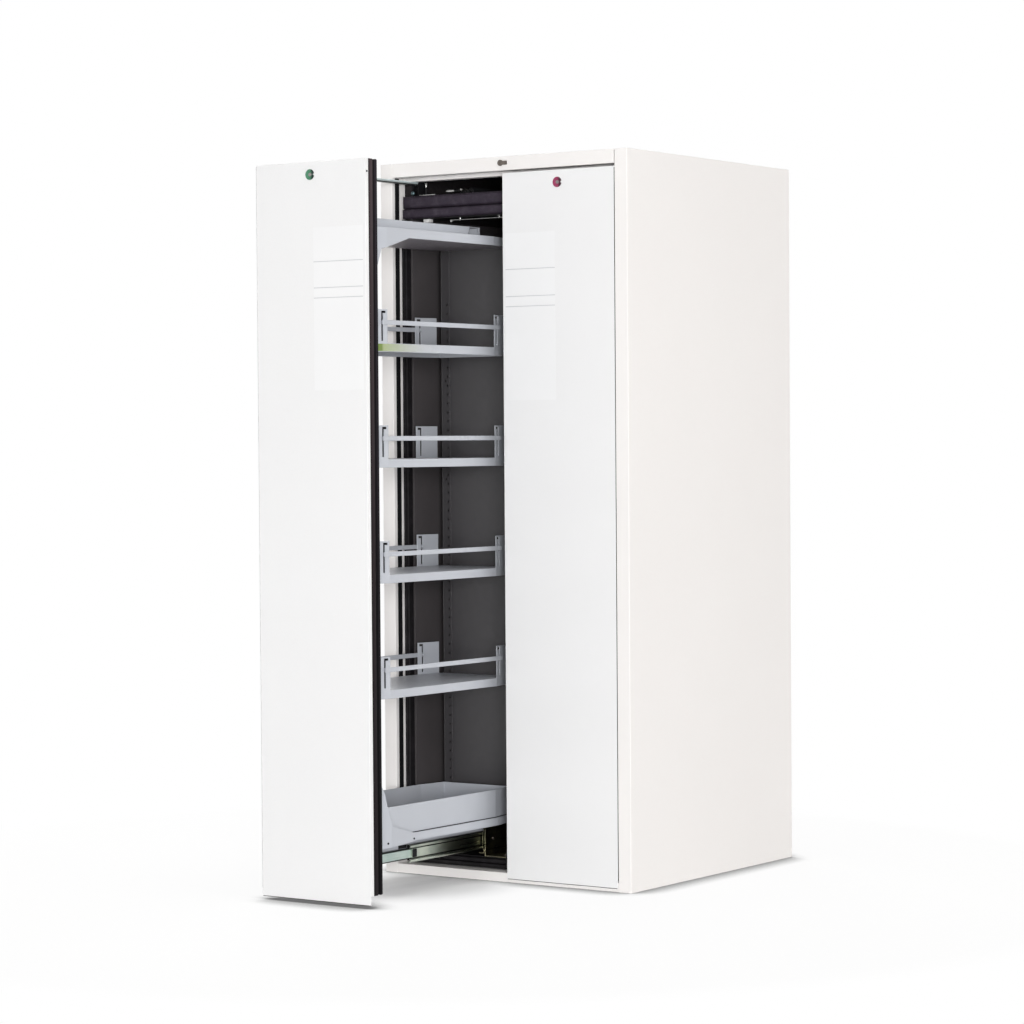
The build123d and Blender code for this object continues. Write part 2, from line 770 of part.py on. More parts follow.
def trays(side, cx, y0):
    gusset_low = top_tray_z - top_gusset
    span = 2 * frame_half + 20
    near = y0 + frame_front
    with BuildPart() as top_beam:
        with BuildSketch(Plane.XY.offset(top_tray_z)):
            Polygon(*outline(cx, y0, frame_front, frame_back, 0), align=None)
        extrude(amount=tray_flange)
        with BuildSketch(Plane.XY.offset(top_tray_z + sheet)):
            Polygon(*outline(cx, y0, frame_front + sheet, frame_back - sheet, sheet), align=None)
        extrude(amount=tray_flange - sheet, mode=Mode.SUBTRACT)
        with BuildSketch(Plane.XY.offset(top_tray_z + sheet)):
            rect(cx - hat_half, cx + hat_half, near, y0 + hat_end)
        extrude(amount=hat_top - top_tray_z - sheet)
        with BuildSketch(Plane.XY.offset(top_tray_z + sheet)):
            rect(cx - hat_half + sheet, cx + hat_half - sheet, near + sheet, y0 + hat_end - sheet)
        extrude(amount=hat_top - top_tray_z - 2 * sheet, mode=Mode.SUBTRACT)
        tab = y0 + hat_end - hat_tab
        with BuildSketch(Plane.YZ.offset(cx - hat_half)):
            Polygon(
                (tab - hat_window, top_tray_z + sheet + hat_sill),
                (tab, top_tray_z + sheet + hat_sill),
                (tab, hat_top - sheet),
                (tab - hat_window + hat_slope, hat_top - sheet),
                align=None,
            )
        extrude(amount=2 * hat_half, mode=Mode.SUBTRACT)
        with BuildSketch(Plane.XY.offset(gusset_low)):
            for sign in (-1, 1):
                Polygon(*ribbon(cx, y0, sign, frame_front, gusset_back, 0, sheet), align=None)
        extrude(amount=top_tray_z - gusset_low)
        with BuildSketch(Plane.YZ.offset(cx - span / 2)):
            Polygon(
                (y0 + gusset_back + sheet, top_tray_z),
                (y0 + gusset_back, top_tray_z),
                *[(near + run, top_tray_z - rise) for run, rise in top_gusset_edge],
                (y0 + gusset_back + sheet, gusset_low),
                align=None,
            )
        extrude(amount=span, mode=Mode.SUBTRACT)
    save(top_beam.part, f"{side}_top_beam")

    gusset_top = base_tray_z + base_gusset
    with BuildPart() as base_beam:
        with BuildSketch(Plane.XY.offset(base_tray_z)):
            Polygon(*outline(cx, y0, frame_front, frame_back, 0), align=None)
        extrude(amount=base_top - base_tray_z)
        with BuildSketch(Plane.XY.offset(base_tray_z + sheet)):
            Polygon(*outline(cx, y0, frame_front + sheet, frame_back - sheet, sheet), align=None)
        extrude(amount=base_top - base_tray_z - sheet, mode=Mode.SUBTRACT)
        with BuildSketch(Plane.XY.offset(base_top)):
            for sign in (-1, 1):
                Polygon(*ribbon(cx, y0, sign, frame_front, gusset_back, 0, sheet), align=None)
        extrude(amount=gusset_top - base_top)
        with BuildSketch(Plane.YZ.offset(cx - span / 2)):
            Polygon(
                (y0 + gusset_back + sheet, base_top),
                (y0 + gusset_back, base_top),
                *[(near + run, base_tray_z + rise) for run, rise in base_gusset_edge],
                (y0 + gusset_back + sheet, gusset_top),
                align=None,
            )
        extrude(amount=span, mode=Mode.SUBTRACT)
        with BuildSketch(Plane.XY.offset(base_tray_z - skirt)):
            for sign in (-1, 1):
                Polygon(*ribbon(cx, y0, sign, frame_front, gusset_back, 0, sheet), align=None)
        extrude(amount=skirt)
        with BuildSketch(Plane.YZ.offset(cx - span / 2)):
            Polygon(
                (near, base_tray_z - skirt),
                (y0 + gusset_back, base_tray_z - sheet),
                (y0 + gusset_back, base_tray_z - skirt),
                align=None,
            )
        extrude(amount=span, mode=Mode.SUBTRACT)
        with BuildSketch(facing(y0 + frame_front + inner_long)):
            for sign in (-1, 1):
                rect(cx + sign * (slide_beam - slide_metal), cx + sign * slide_beam, inner_low, base_tray_z)
        extrude(amount=inner_long)
    save(base_beam.part, f"{side}_base_beam")

    sump_top = base_tray_z + sump_high
    with BuildPart() as sump:
        with BuildSketch(Plane.XY.offset(base_tray_z + sheet)):
            Polygon(*outline(cx, y0, sump_front, sump_back, sump_inset), align=None)
        extrude(amount=sump_top - base_tray_z - sheet)
        with BuildSketch(Plane.XY.offset(base_tray_z + 2 * sheet)):
            Polygon(*outline(cx, y0, sump_front + sheet, sump_back - sheet, sump_inset + sheet), align=None)
        extrude(amount=sump_top - base_tray_z - 2 * sheet, mode=Mode.SUBTRACT)
    save(sump.part, f"{side}_sump")


def shelf_set(side, cx, y0, number, top):
    plate_front = frame_front + wing_front + shelf_end
    plate_back = frame_back - wing_back - shelf_end
    ear_back = frame_back - wing_back / 2
    span = 2 * frame_half + 20
    slots = ((front_bend - slot_from_bend, 1), (rear_bend + slot_from_bend, -1))
    with BuildPart() as shelf:
        with BuildSketch(Plane.XY.offset(top - shelf_flange)):
            Polygon(*outline(cx, y0, plate_front, plate_back, 0), align=None)
        extrude(amount=shelf_flange)
        with BuildSketch(Plane.XY.offset(top - shelf_flange)):
            Polygon(*outline(cx, y0, plate_front + sheet, plate_back - sheet, sheet), align=None)
        extrude(amount=shelf_flange - sheet, mode=Mode.SUBTRACT)
        with BuildSketch(Plane.XY.offset(top - shelf_flange)):
            for sign in (-1, 1):
                Polygon(*ribbon(cx, y0, sign, bracket_front, front_bend, 0, sheet), align=None)
                Polygon(*ribbon(cx, y0, sign, rear_bend, ear_back, 0, sheet), align=None)
        extrude(amount=shelf_flange)
        with BuildSketch(Plane.XY.offset(top - sheet)):
            for sign in (-1, 1):
                Polygon(*ribbon(cx, y0, sign, bracket_front, front_bend - 1, 0, bracket_thick), align=None)
                Polygon(*ribbon(cx, y0, sign, rear_bend + 1, bracket_back, 0, bracket_thick), align=None)
        extrude(amount=bracket_high + sheet)
        with BuildSketch(Plane.YZ.offset(cx - span / 2)):
            for at, toward in slots:
                rect(y0 + at - slot_width / 2, y0 + at + slot_width / 2, top + slot_low, top + slot_high)
                rect(y0 + at, y0 + at + toward * slot_leg, top + slot_high - slot_width, top + slot_high)
        extrude(amount=span, mode=Mode.SUBTRACT)
    save(shelf.part, f"{side}_shelf_{number}")

    rail_in = frame_half + rail_off
    rail_z = top + rail_mid
    nut_out = frame_half - nut_in
    rail_ends = (slots[0][0] - rail_past, slots[1][0] + rail_past)
    with BuildPart() as rails:
        for sign in (-1, 1):
            with BuildSketch(Plane.YZ.offset(cx + sign * rail_in)):
                rect(y0 + rail_ends[0], y0 + rail_ends[1], rail_z - rail_high / 2, rail_z + rail_high / 2)
            extrude(amount=sign * rail_thick)
            with BuildSketch(Plane.YZ.offset(cx + sign * nut_out)):
                with Locations([(y0 + at, rail_z) for at, toward in slots]):
                    Circle(pin_dia / 2)
            extrude(amount=sign * (rail_in - nut_out))
            with BuildSketch(Plane.YZ.offset(cx + sign * nut_out)):
                with Locations([(y0 + at, rail_z) for at, toward in slots]):
                    Circle(nut_dia / 2)
            extrude(amount=-sign * nut_thick)
    save(rails.part, f"{side}_shelf_{number}_rails")


def runners(side, cx, y0, bar_sign, moved):
    with BuildPart() as slide_inner:
        with BuildSketch(facing(y0 + frame_front + inner_long)):
            for sign in (-1, 1):
                far = cx + sign * slide_beam
                face = cx + sign * inner_face
                rect(cx + sign * (inner_face - slide_metal), face, inner_low, inner_top)
                rect(far, face, inner_low, inner_low + slide_metal)
                rect(far, face, inner_top - slide_metal, inner_top)
        extrude(amount=inner_long)
    save(slide_inner.part, f"{side}_slide_inner")

    start = outer_front - middle_lead - middle_share * moved
    with BuildPart() as slide_middle:
        with BuildSketch(facing(start + middle_long)):
            for sign in (-1, 1):
                face = cx + sign * middle_face
                lip = cx + sign * (inner_face - race_wide)
                race = cx + sign * (inner_face - race_wide + race_step)
                stop = cx + sign * (inner_face + race_step)
                rect(cx + sign * (middle_face - slide_metal), face, middle_low, middle_top)
                rect(lip, face, middle_low, middle_low + slide_metal)
                rect(lip, face, middle_top - slide_metal, middle_top)
                rect(race, stop, middle_low, inner_low - slide_gap)
                rect(race, stop, inner_top + slide_gap, middle_top)
        extrude(amount=middle_long)
    save(slide_middle.part, f"{side}_slide_middle")

    bar_centre = bar_sign * bar_x
    with BuildPart() as guide_bar:
        with BuildSketch(facing(y0 + bar_end)):
            rect(bar_centre - bar_wide / 2, bar_centre + bar_wide / 2, bar_low, bar_low + bar_high)
        extrude(amount=bar_end - panel_depth)
        with BuildSketch(facing(y0 + panel_depth + slide_metal)):
            rect(bar_centre - bar_wide, bar_centre + bar_wide, bar_low - bar_foot, bar_low + bar_high)
        extrude(amount=slide_metal)
    save(guide_bar.part, f"{side}_guide_bar")


# The left drawer is built pulled out and the right one closed
for side, sign, moved in (("left", -1, pull_out), ("right", 1, 0)):
    centre = sign * drawer_x
    face_y = front - moved
    front_panel(side, centre, face_y)
    uprights_of(side, centre, face_y)
    trays(side, centre, face_y)
    for number in range(shelf_count):
        shelf_set(side, centre, face_y, number + 1, shelf_first + shelf_pitch * number)
    runners(side, centre, face_y, sign, moved)
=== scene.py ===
import math

import bmesh
import bpy
from mathutils import Matrix, Vector


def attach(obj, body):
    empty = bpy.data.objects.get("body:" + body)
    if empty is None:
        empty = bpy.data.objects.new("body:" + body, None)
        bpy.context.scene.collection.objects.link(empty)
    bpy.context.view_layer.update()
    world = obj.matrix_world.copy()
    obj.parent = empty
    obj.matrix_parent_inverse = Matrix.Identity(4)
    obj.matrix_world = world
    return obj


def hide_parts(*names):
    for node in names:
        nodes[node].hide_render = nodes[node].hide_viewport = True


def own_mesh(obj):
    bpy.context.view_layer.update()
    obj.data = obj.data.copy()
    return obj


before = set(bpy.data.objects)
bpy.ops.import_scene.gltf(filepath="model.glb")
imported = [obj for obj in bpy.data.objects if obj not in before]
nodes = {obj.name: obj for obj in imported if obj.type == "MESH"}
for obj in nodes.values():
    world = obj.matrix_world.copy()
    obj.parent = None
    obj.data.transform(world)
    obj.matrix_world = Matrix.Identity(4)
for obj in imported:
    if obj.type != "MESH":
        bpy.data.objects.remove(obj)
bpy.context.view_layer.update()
scene = bpy.context.scene
mm = 0.001

# Places shared with the solids, in metres unless the name says mm
left_face = -1.025
right_face = -0.430
drawer_x = 0.1845
drawers = (("left", -drawer_x, left_face), ("right", drawer_x, right_face))
front_half = 0.1785
frame_half = 0.1345
gusset_bend = 0.150
gusset_in_mm, gusset_long_mm, tail_long_mm = 23.5, 97, 127
gusset_slope = math.atan2(gusset_in_mm, gusset_long_mm)
shelf_tops = (0.551, 0.852, 1.153, 1.454)
lock_z = 1.888
deck_z = 1.8755
rod_y, rod_z = -0.351, 1.8095
shaft_x, shaft_y, shaft_z = 0.3057, -0.3515, 1.8822
damper_z = 1.8905
link_y, link_z = -0.3602, 1.8885
back_y, roof_z = 0.430, 1.966
spigot_y, collar_radius = 0.300, 0.0465


# Materials

class Finish:
    """A material's node tree, with short ways to add the nodes that the finishes share."""

    def __init__(self, name):
        self.material = bpy.data.materials.new(name)
        self.material.use_nodes = True
        self.tree = self.material.node_tree
        self.shader = self.tree.nodes["Principled BSDF"]
        self.place = self.add("ShaderNodeTexCoord").outputs["Object"]

    def add(self, kind, **settings):
        node = self.tree.nodes.new(kind)
        for key, value in settings.items():
            setattr(node, key, value)
        return node

    def join(self, out, into):
        self.tree.links.new(out, into)

    def set(self, **values):
        for key, value in values.items():
            self.shader.inputs[key.replace("_", " ")].default_value = value

    def placed(self, scale=(1, 1, 1), shift=(0, 0, 0)):
        node = self.add("ShaderNodeMapping")
        node.inputs["Scale"].default_value = scale
        node.inputs["Location"].default_value = shift
        self.join(self.place, node.inputs["Vector"])
        return node.outputs["Vector"]

    def noise(self, scale, detail=2.0, roughness=0.5, along=None):
        node = self.add("ShaderNodeTexNoise")
        node.inputs["Scale"].default_value = scale
        node.inputs["Detail"].default_value = detail
        node.inputs["Roughness"].default_value = roughness
        self.join(along or self.place, node.inputs["Vector"])
        return node.outputs["Fac"]

    def ramp(self, factor, stops, smooth=False):
        node = self.add("ShaderNodeValToRGB")
        ramp = node.color_ramp
        ramp.interpolation = "EASE" if smooth else "LINEAR"
        while len(ramp.elements) < len(stops):
            ramp.elements.new(0.5)
        for element, (at, colour) in zip(ramp.elements, stops):
            element.position = at
            element.color = (*colour, 1)
        self.join(factor, node.inputs["Fac"])
        return node.outputs["Color"]

    def span(self, factor, low, high, start=0.0, stop=1.0):
        node = self.add("ShaderNodeMapRange")
        node.inputs["From Min"].default_value = start
        node.inputs["From Max"].default_value = stop
        node.inputs["To Min"].default_value = low
        node.inputs["To Max"].default_value = high
        self.join(factor, node.inputs["Value"])
        return node.outputs["Result"]

    def blend(self, factor, first, second, mode="MIX"):
        node = self.add("ShaderNodeMix", data_type="RGBA", blend_type=mode)
        ports = (node.inputs[0], node.inputs[6], node.inputs[7])
        for value, port in zip((factor, first, second), ports):
            if isinstance(value, bpy.types.NodeSocket):
                self.join(value, port)
            elif isinstance(value, tuple):
                port.default_value = (*value, 1)
            else:
                port.default_value = value
        return node.outputs[2]

    def colour(self, out):
        self.join(out, self.shader.inputs["Base Color"])

    def gloss(self, out):
        self.join(out, self.shader.inputs["Roughness"])

    def relief(self, height, strength, distance, edge=0.0):
        bump = self.add("ShaderNodeBump")
        bump.inputs["Strength"].default_value = strength
        bump.inputs["Distance"].default_value = distance
        self.join(height, bump.inputs["Height"])
        if edge:
            round_off = self.add("ShaderNodeBevel", samples=4)
            round_off.inputs["Radius"].default_value = edge
            self.join(round_off.outputs["Normal"], bump.inputs["Normal"])
        self.join(bump.outputs["Normal"], self.shader.inputs["Normal"])


def powder_coat(name, colour, shade, rough, spec=0.5, under=None):
    """Sprayed coat; under is the tone multiplied onto faces that look down, as painted shade."""
    f = Finish(name)
    cloud = f.noise(1.7, 4, 0.55)
    grain = f.noise(900, 2, 0.6)
    tint = f.ramp(cloud, ((0.3, shade), (0.7, colour)), smooth=True)
    fleck = f.span(grain, 0.965, 1.0, 0.3, 0.6)
    coat = f.blend(1.0, tint, fleck, "MULTIPLY")
    # Painted shade: faces that look down are darkened toward the under tone.
    if under:
        split = f.add("ShaderNodeSeparateXYZ")
        f.join(f.add("ShaderNodeTexCoord").outputs["Normal"], split.inputs["Vector"])
        down = f.span(split.outputs["Z"], 1, 0, -0.9, -0.4)
        painted_underside_shade = f.ramp(down, ((0.0, (1, 1, 1)), (1.0, under)))
        coat = f.blend(1.0, coat, painted_underside_shade, "MULTIPLY")
    f.colour(coat)
    f.gloss(f.span(f.noise(60, 3), rough[0], rough[1], 0.3, 0.7))
    f.set(Specular_IOR_Level=spec)
    f.relief(f.noise(520, 3, 0.6), 0.08, 0.0003, 0.0012)
    return f.material


def zinc_plate(name, light, dark, along="Y", rough=(0.22, 0.40), painted_light_bands=None, painted_depth_shade=None, metal=1.0):
    """Plated steel drawn along one axis.

    bands give its tone by height, as painted shade in creases and at edges and painted highlight on
    tops; the depth fade gives the depths between which it turns dark and that tone, as painted shade
    toward the back.
    """
    f = Finish(name)
    scale = {"X": (3, 160, 160), "Y": (160, 3, 160)}[along]
    drawn = f.noise(1.0, 4, 0.6, f.placed(scale))
    bloom = f.noise(26, 5, 0.6)
    tint = f.ramp(bloom, ((0.32, dark), (0.68, light)), smooth=True)
    tint = f.blend(1.0, tint, f.span(drawn, 0.86, 1.0, 0.25, 0.7), "MULTIPLY")
    # Painted shade in creases and at edges, and painted highlight on tops, by height.
    if painted_light_bands:
        low, high = painted_light_bands[0][0], painted_light_bands[-1][0]
        split = f.add("ShaderNodeSeparateXYZ")
        f.join(f.place, split.inputs["Vector"])
        rise = f.span(split.outputs["Z"], 0, 1, low, high)
        stops = [((z - low) / (high - low), (tone, tone, tone)) for z, tone in painted_light_bands]
        tint = f.blend(1.0, tint, f.ramp(rise, stops), "MULTIPLY")
        # Painted shade that deepens toward the back.
        if painted_depth_shade:
            back = f.span(split.outputs["Y"], 0, 1, painted_depth_shade[0], painted_depth_shade[1])
            film = f.ramp(back, ((0.0, (1, 1, 1)), (1.0, painted_depth_shade[2])), smooth=True)
            tint = f.blend(1.0, tint, film, "MULTIPLY")
    f.colour(tint)
    f.gloss(f.span(drawn, rough[0], rough[1], 0.2, 0.8))
    f.set(Metallic=metal)
    f.relief(drawn, 0.05, 0.0002, 0.0006)
    return f.material


def soft_rubber(name, colour, worn):
    f = Finish(name)
    dust = f.noise(38, 6, 0.62)
    f.colour(f.ramp(dust, ((0.42, colour), (0.75, worn)), smooth=True))
    f.gloss(f.span(f.noise(210, 3), 0.50, 0.68, 0.3, 0.7))
    f.set(Specular_IOR_Level=0.18)
    f.relief(f.noise(1400, 2), 0.12, 0.0002, 0.0006)
    return f.material


def edge_profile(name, face_y):
    """Rim of a drawer front: a brown clip, a groove and a dark foaming strip; the clip's darker edges
    and the groove's black are painted shade.

    Its tone deepens toward the floor as painted shade.
    """
    f = Finish(name)
    split = f.add("ShaderNodeSeparateXYZ")
    f.join(f.placed(shift=(0, -face_y, 0)), split.inputs["Vector"])
    depth = f.span(split.outputs["Y"], 0, 1, 0.013, 0.053)
    # Painted shade across the depth: darker edges on the rounded clip and black in the groove.
    tone = f.ramp(depth, (
        (0.00, (0.030, 0.021, 0.023)),
        (0.14, (0.052, 0.037, 0.041)),
        (0.34, (0.072, 0.054, 0.058)),
        (0.49, (0.060, 0.044, 0.048)),
        (0.53, (0.008, 0.005, 0.007)),
        (0.69, (0.009, 0.006, 0.008)),
        (0.73, (0.022, 0.018, 0.024)),
        (0.86, (0.017, 0.014, 0.020)),
        (0.90, (0.006, 0.005, 0.007)),
    ))
    # Painted shade: the rim darkens toward the floor.
    painted_floorward_shade = f.ramp(f.span(split.outputs["Z"], 0, 1, 0.03, 1.92), (
        (0.0, (0.16, 0.15, 0.16)),
        (0.5, (0.30, 0.285, 0.29)),
        (1.0, (1.0, 1.0, 1.0)),
    ))
    streak = f.noise(1.0, 4, 0.6, f.placed((240, 240, 5)))
    aged_and_shaded = f.blend(1.0, tone, f.span(streak, 0.82, 1.0, 0.3, 0.7), "MULTIPLY")
    f.colour(f.blend(1.0, aged_and_shaded, painted_floorward_shade, "MULTIPLY"))
    f.gloss(f.span(streak, 0.55, 0.72, 0.3, 0.7))
    f.set(Specular_IOR_Level=0.12)
    f.relief(streak, 0.1, 0.0003)
    return f.material


def liner_sheet(name, colour, shade):
    f = Finish(name)
    haze = f.noise(3.1, 5, 0.6)
    brushed = f.noise(1.0, 3, 0.5, f.placed((90, 90, 4)))
    tint = f.ramp(haze, ((0.3, shade), (0.7, colour)), smooth=True)
    f.colour(f.blend(1.0, tint, f.span(brushed, 0.93, 1.0, 0.3, 0.7), "MULTIPLY"))
    f.gloss(f.span(brushed, 0.38, 0.52, 0.3, 0.7))
    f.set(Specular_IOR_Level=0.25)
    f.relief(f.noise(700, 2), 0.05, 0.0002, 0.001)
    return f.material


def board_in_painted_shade(name):
    """Fire board made near black as painted shade for the dark slots where it shows."""
    f = Finish(name)
    pits = f.noise(160, 6, 0.7)
    crease = f.noise(14, 5, 0.6)
    f.colour(f.ramp(pits, ((0.35, (0.012, 0.010, 0.011)), (0.6, (0.022, 0.019, 0.020)))))
    f.gloss(f.span(crease, 0.55, 0.8, 0.3, 0.7))
    f.set(Specular_IOR_Level=0.15)
    f.relief(pits, 0.4, 0.0006)
    return f.material


def galvanised(name):
    f = Finish(name)
    cells = f.add("ShaderNodeTexVoronoi")
    cells.inputs["Scale"].default_value = 130
    f.join(f.place, cells.inputs["Vector"])
    grey = f.add("ShaderNodeRGBToBW")
    f.join(cells.outputs["Color"], grey.inputs["Color"])
    spangle = grey.outputs["Val"]
    f.colour(f.ramp(spangle, ((0.1, (0.46, 0.48, 0.49)), (0.9, (0.66, 0.68, 0.69)))))
    f.gloss(f.span(spangle, 0.28, 0.5))
    f.set(Metallic=1.0)
    f.relief(f.noise(300, 3), 0.05, 0.0002, 0.0006)
    return f.material


def turned_nickel(name, colour=(0.36, 0.34, 0.33), rough=(0.3, 0.5)):
    f = Finish(name)
    mark = f.noise(800, 4, 0.7)
    f.colour(f.ramp(mark, ((0.3, tuple(c * 0.8 for c in colour)), (0.7, colour))))
    f.gloss(f.span(mark, rough[0], rough[1], 0.3, 0.7))
    f.set(Metallic=1.0)
    f.relief(f.noise(2200, 2), 0.06, 0.0001, 0.0003)
    return f.material


def moulded(name, colour, pale, rough=(0.32, 0.5)):
    f = Finish(name)
    grain = f.noise(700, 3, 0.6)
    f.colour(f.ramp(grain, ((0.3, colour), (0.7, pale))))
    f.gloss(f.span(grain, rough[0], rough[1], 0.3, 0.7))
    f.set(Specular_IOR_Level=0.2)
    f.relief(grain, 0.08, 0.0001, 0.0004)
    return f.material


def blank_film(name, lines):
    """White film with a few narrow grey dividers at given heights."""
    line_half = 1.1 * mm
    f = Finish(name)
    split = f.add("ShaderNodeSeparateXYZ")
    f.join(f.place, split.inputs["Vector"])
    total = None
    for z in lines:
        line = f.add("ShaderNodeMath", operation="COMPARE")
        f.join(split.outputs["Z"], line.inputs[0])
        line.inputs[1].default_value = z
        line.inputs[2].default_value = line_half
        if total is None:
            total = line.outputs[0]
        else:
            both = f.add("ShaderNodeMath", operation="MAXIMUM")
            f.join(total, both.inputs[0])
            f.join(line.outputs[0], both.inputs[1])
            total = both.outputs[0]
    sheet = f.ramp(f.noise(5, 3), ((0.3, (0.874, 0.874, 0.874)), (0.7, (0.884, 0.884, 0.884))))
    f.colour(f.blend(total, sheet, (0.62, 0.63, 0.64)))
    f.gloss(f.span(f.noise(90, 3), 0.48, 0.56))
    f.set(Specular_IOR_Level=0.25)
    f.relief(f.noise(900, 2), 0.01, 0.0001)
    return f.material


carcass_white = powder_coat(
    "carcass_white", (0.912, 0.886, 0.864), (0.899, 0.872, 0.850), rough=(0.5, 0.62), spec=0.25
)
panel_white = powder_coat(
    "panel_white", (0.876, 0.874, 0.872), (0.864, 0.862, 0.860), rough=(0.5, 0.62), spec=0.25
)
frame_grey = powder_coat(
    "frame_grey", (0.510, 0.528, 0.566), (0.485, 0.504, 0.543), rough=(0.3, 0.42),
    # Painted shade on the frame's downward faces.
    under=(0.44, 0.39, 0.40),
)
# Painted shade: the back plate takes the frame's grey darkened to stand in for the shade at the back of
# the drawer.
plate_grey_painted_shade = powder_coat(
    "plate_grey_painted_shade", (0.056, 0.053, 0.056), (0.049, 0.046, 0.049), rough=(0.34, 0.46)
)
# Dark grey lining, darkened further as painted shade for the dim inside of the cabinet.
liner_grey = liner_sheet("liner_grey", (0.082, 0.074, 0.076), (0.068, 0.061, 0.063))
deck_black = moulded(
    "deck_black", (0.011, 0.010, 0.011), (0.018, 0.017, 0.018), rough=(0.35, 0.5)
)
seal_dark = soft_rubber("seal_dark", (0.034, 0.026, 0.038), (0.056, 0.045, 0.060))
# The seal rubber darkened as painted shade, for the floor and jamb bulbs.
seal_rubber_painted_shade = soft_rubber("seal_rubber_painted_shade", (0.008, 0.007, 0.008), (0.016, 0.014, 0.016))
left_edge = edge_profile("left_edge_profile", left_face)
right_edge = edge_profile("right_edge_profile", right_face)
# Painted shade: the fire boards are made near black so the slots where they show read dark.
board = board_in_painted_shade("board_in_painted_shade")
pad_rubber = soft_rubber("pad_rubber", (0.02, 0.02, 0.02), (0.05, 0.05, 0.048))
# Middle members: painted shade in the race creases and at the edges, and painted shade deepening toward
# the back inside the cabinet.
middle_zinc = zinc_plate("middle_zinc", (0.74, 0.79, 0.68), (0.58, 0.65, 0.56), painted_light_bands=(
    (0.0750, 0.35), (0.0762, 0.95), (0.0846, 1.0), (0.0852, 0.08), (0.0876, 0.08), (0.0884, 0.9),
    (0.1106, 1.0), (0.1114, 0.08), (0.1138, 0.08), (0.1144, 0.9), (0.1205, 1.0), (0.1215, 0.25),
    (0.1240, 0.3),
), painted_depth_shade=(-0.62, -0.50, (0.36, 0.36, 0.33)))
# Inner members: painted shade along the turned flanges.
inner_zinc = zinc_plate("inner_zinc", (0.60, 0.70, 0.65), (0.51, 0.62, 0.58), painted_light_bands=(
    (0.0846, 0.06), (0.0876, 0.06), (0.0886, 0.95), (0.1094, 1.0), (0.1104, 0.08), (0.1135, 0.06),
    (0.1144, 0.2),
))
# Outer members and brackets: zinc darkened as painted shade for their place deep under the drawers.
outer_zinc = zinc_plate("outer_zinc", (0.36, 0.33, 0.21), (0.16, 0.15, 0.11))
# Guide bar: painted shade on its lower part and painted highlight on its top, brighter than the plain
# zinc.
bar_zinc = zinc_plate("bar_zinc", (0.66, 0.74, 0.74), (0.54, 0.63, 0.63), metal=0.3, painted_light_bands=(
    (1.9090, 0.03), (1.9118, 0.03), (1.9128, 0.62), (1.9150, 0.85), (1.9162, 1.25), (1.9180, 1.3),
))
gear_zinc = zinc_plate("gear_zinc", (0.66, 0.68, 0.66), (0.5, 0.53, 0.52), along="X")
duct_steel = galvanised("duct_steel")
nickel = turned_nickel("nickel")
bright_steel = turned_nickel("bright_steel", (0.74, 0.74, 0.72), (0.2, 0.36))
dome_zinc = turned_nickel("dome_zinc", (0.15, 0.22, 0.235), (0.4, 0.56))
lock_case = turned_nickel("lock_case", (0.20, 0.175, 0.155), (0.42, 0.6))
guide_black = moulded(
    "guide_black", (0.004, 0.004, 0.005), (0.009, 0.009, 0.010), rough=(0.5, 0.66)
)
clip_white = moulded("clip_white", (0.84, 0.83, 0.81), (0.90, 0.89, 0.87))

finishes = {
    "left_side_panel": carcass_white,
    "right_side_panel": carcass_white,
    "rear_panel": carcass_white,
    "roof_panel": carcass_white,
    "base_frame": carcass_white,
    "fascia": carcass_white,
    "lintel": carcass_white,
    "base_pads": pad_rubber,
    "insulation_boards": board,
    "wall_liners": liner_grey,
    "deck_liners": deck_black,
    "centre_post": liner_grey,
    "opening_seals": seal_dark,
    "exhaust_spigot": duct_steel,
    "damper_flap": duct_steel,
    "slide_outers": outer_zinc,
    "slide_brackets": outer_zinc,
    "closing_gear": gear_zinc,
    "fascia_lock_housing": lock_case,
    "fascia_lock_plug": lock_case,
}
for side in ("left", "right"):
    finishes.update({
        f"{side}_front_skin": panel_white,
        f"{side}_front_insulation": board,
        f"{side}_front_seal": left_edge if side == "left" else right_edge,
        f"{side}_front_plate": frame_grey,
        f"{side}_back_plate": plate_grey_painted_shade,
        f"{side}_top_beam": frame_grey,
        f"{side}_base_beam": frame_grey,
        f"{side}_sump": frame_grey,
        f"{side}_slide_inner": inner_zinc,
        f"{side}_slide_middle": middle_zinc,
        f"{side}_guide_bar": bar_zinc,
        f"{side}_lock_core": nickel,
    })
    for k in range(1, len(shelf_tops) + 1):
        finishes[f"{side}_shelf_{k}"] = frame_grey
        finishes[f"{side}_shelf_{k}_rails"] = frame_grey
for name, node in nodes.items():
    node.data.materials.clear()
    node.data.materials.append(finishes[name])


# Shared making of pieces

hair = 1e-6


def finished(bm, name, body, material, smooth=35):
    """Turns a bmesh into a piece that rides on a body; edges over smooth degrees stay sharp."""
    bmesh.ops.remove_doubles(bm, verts=bm.verts, dist=hair)
    bmesh.ops.recalc_face_normals(bm, faces=bm.faces)
    mesh = bpy.data.meshes.new(name)
    bm.to_mesh(mesh)
    bm.free()
    for face in mesh.polygons:
        face.use_smooth = True
    mesh.set_sharp_from_angle(angle=math.radians(smooth))
    piece = bpy.data.objects.new(name, mesh)
    scene.collection.objects.link(piece)
    mesh.materials.append(material)
    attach(piece, body)
    return piece


def rounded(bm, edges, radius, segments):
    bmesh.ops.bevel(
        bm, geom=edges, offset=radius, segments=segments, profile=0.5, affect="EDGES", material=-1
    )


def block(bm, low, high, round_off=0.0, segments=2):
    """A box between two corners, its edges rounded where asked."""
    low, high = Vector(low), Vector(high)
    made = bmesh.ops.create_cube(bm, size=1)["verts"]
    bmesh.ops.scale(bm, vec=high - low, verts=made)
    bmesh.ops.translate(bm, vec=(low + high) / 2, verts=made)
    if round_off:
        rounded(bm, list({e for v in made for e in v.link_edges}), round_off, segments)
    return made


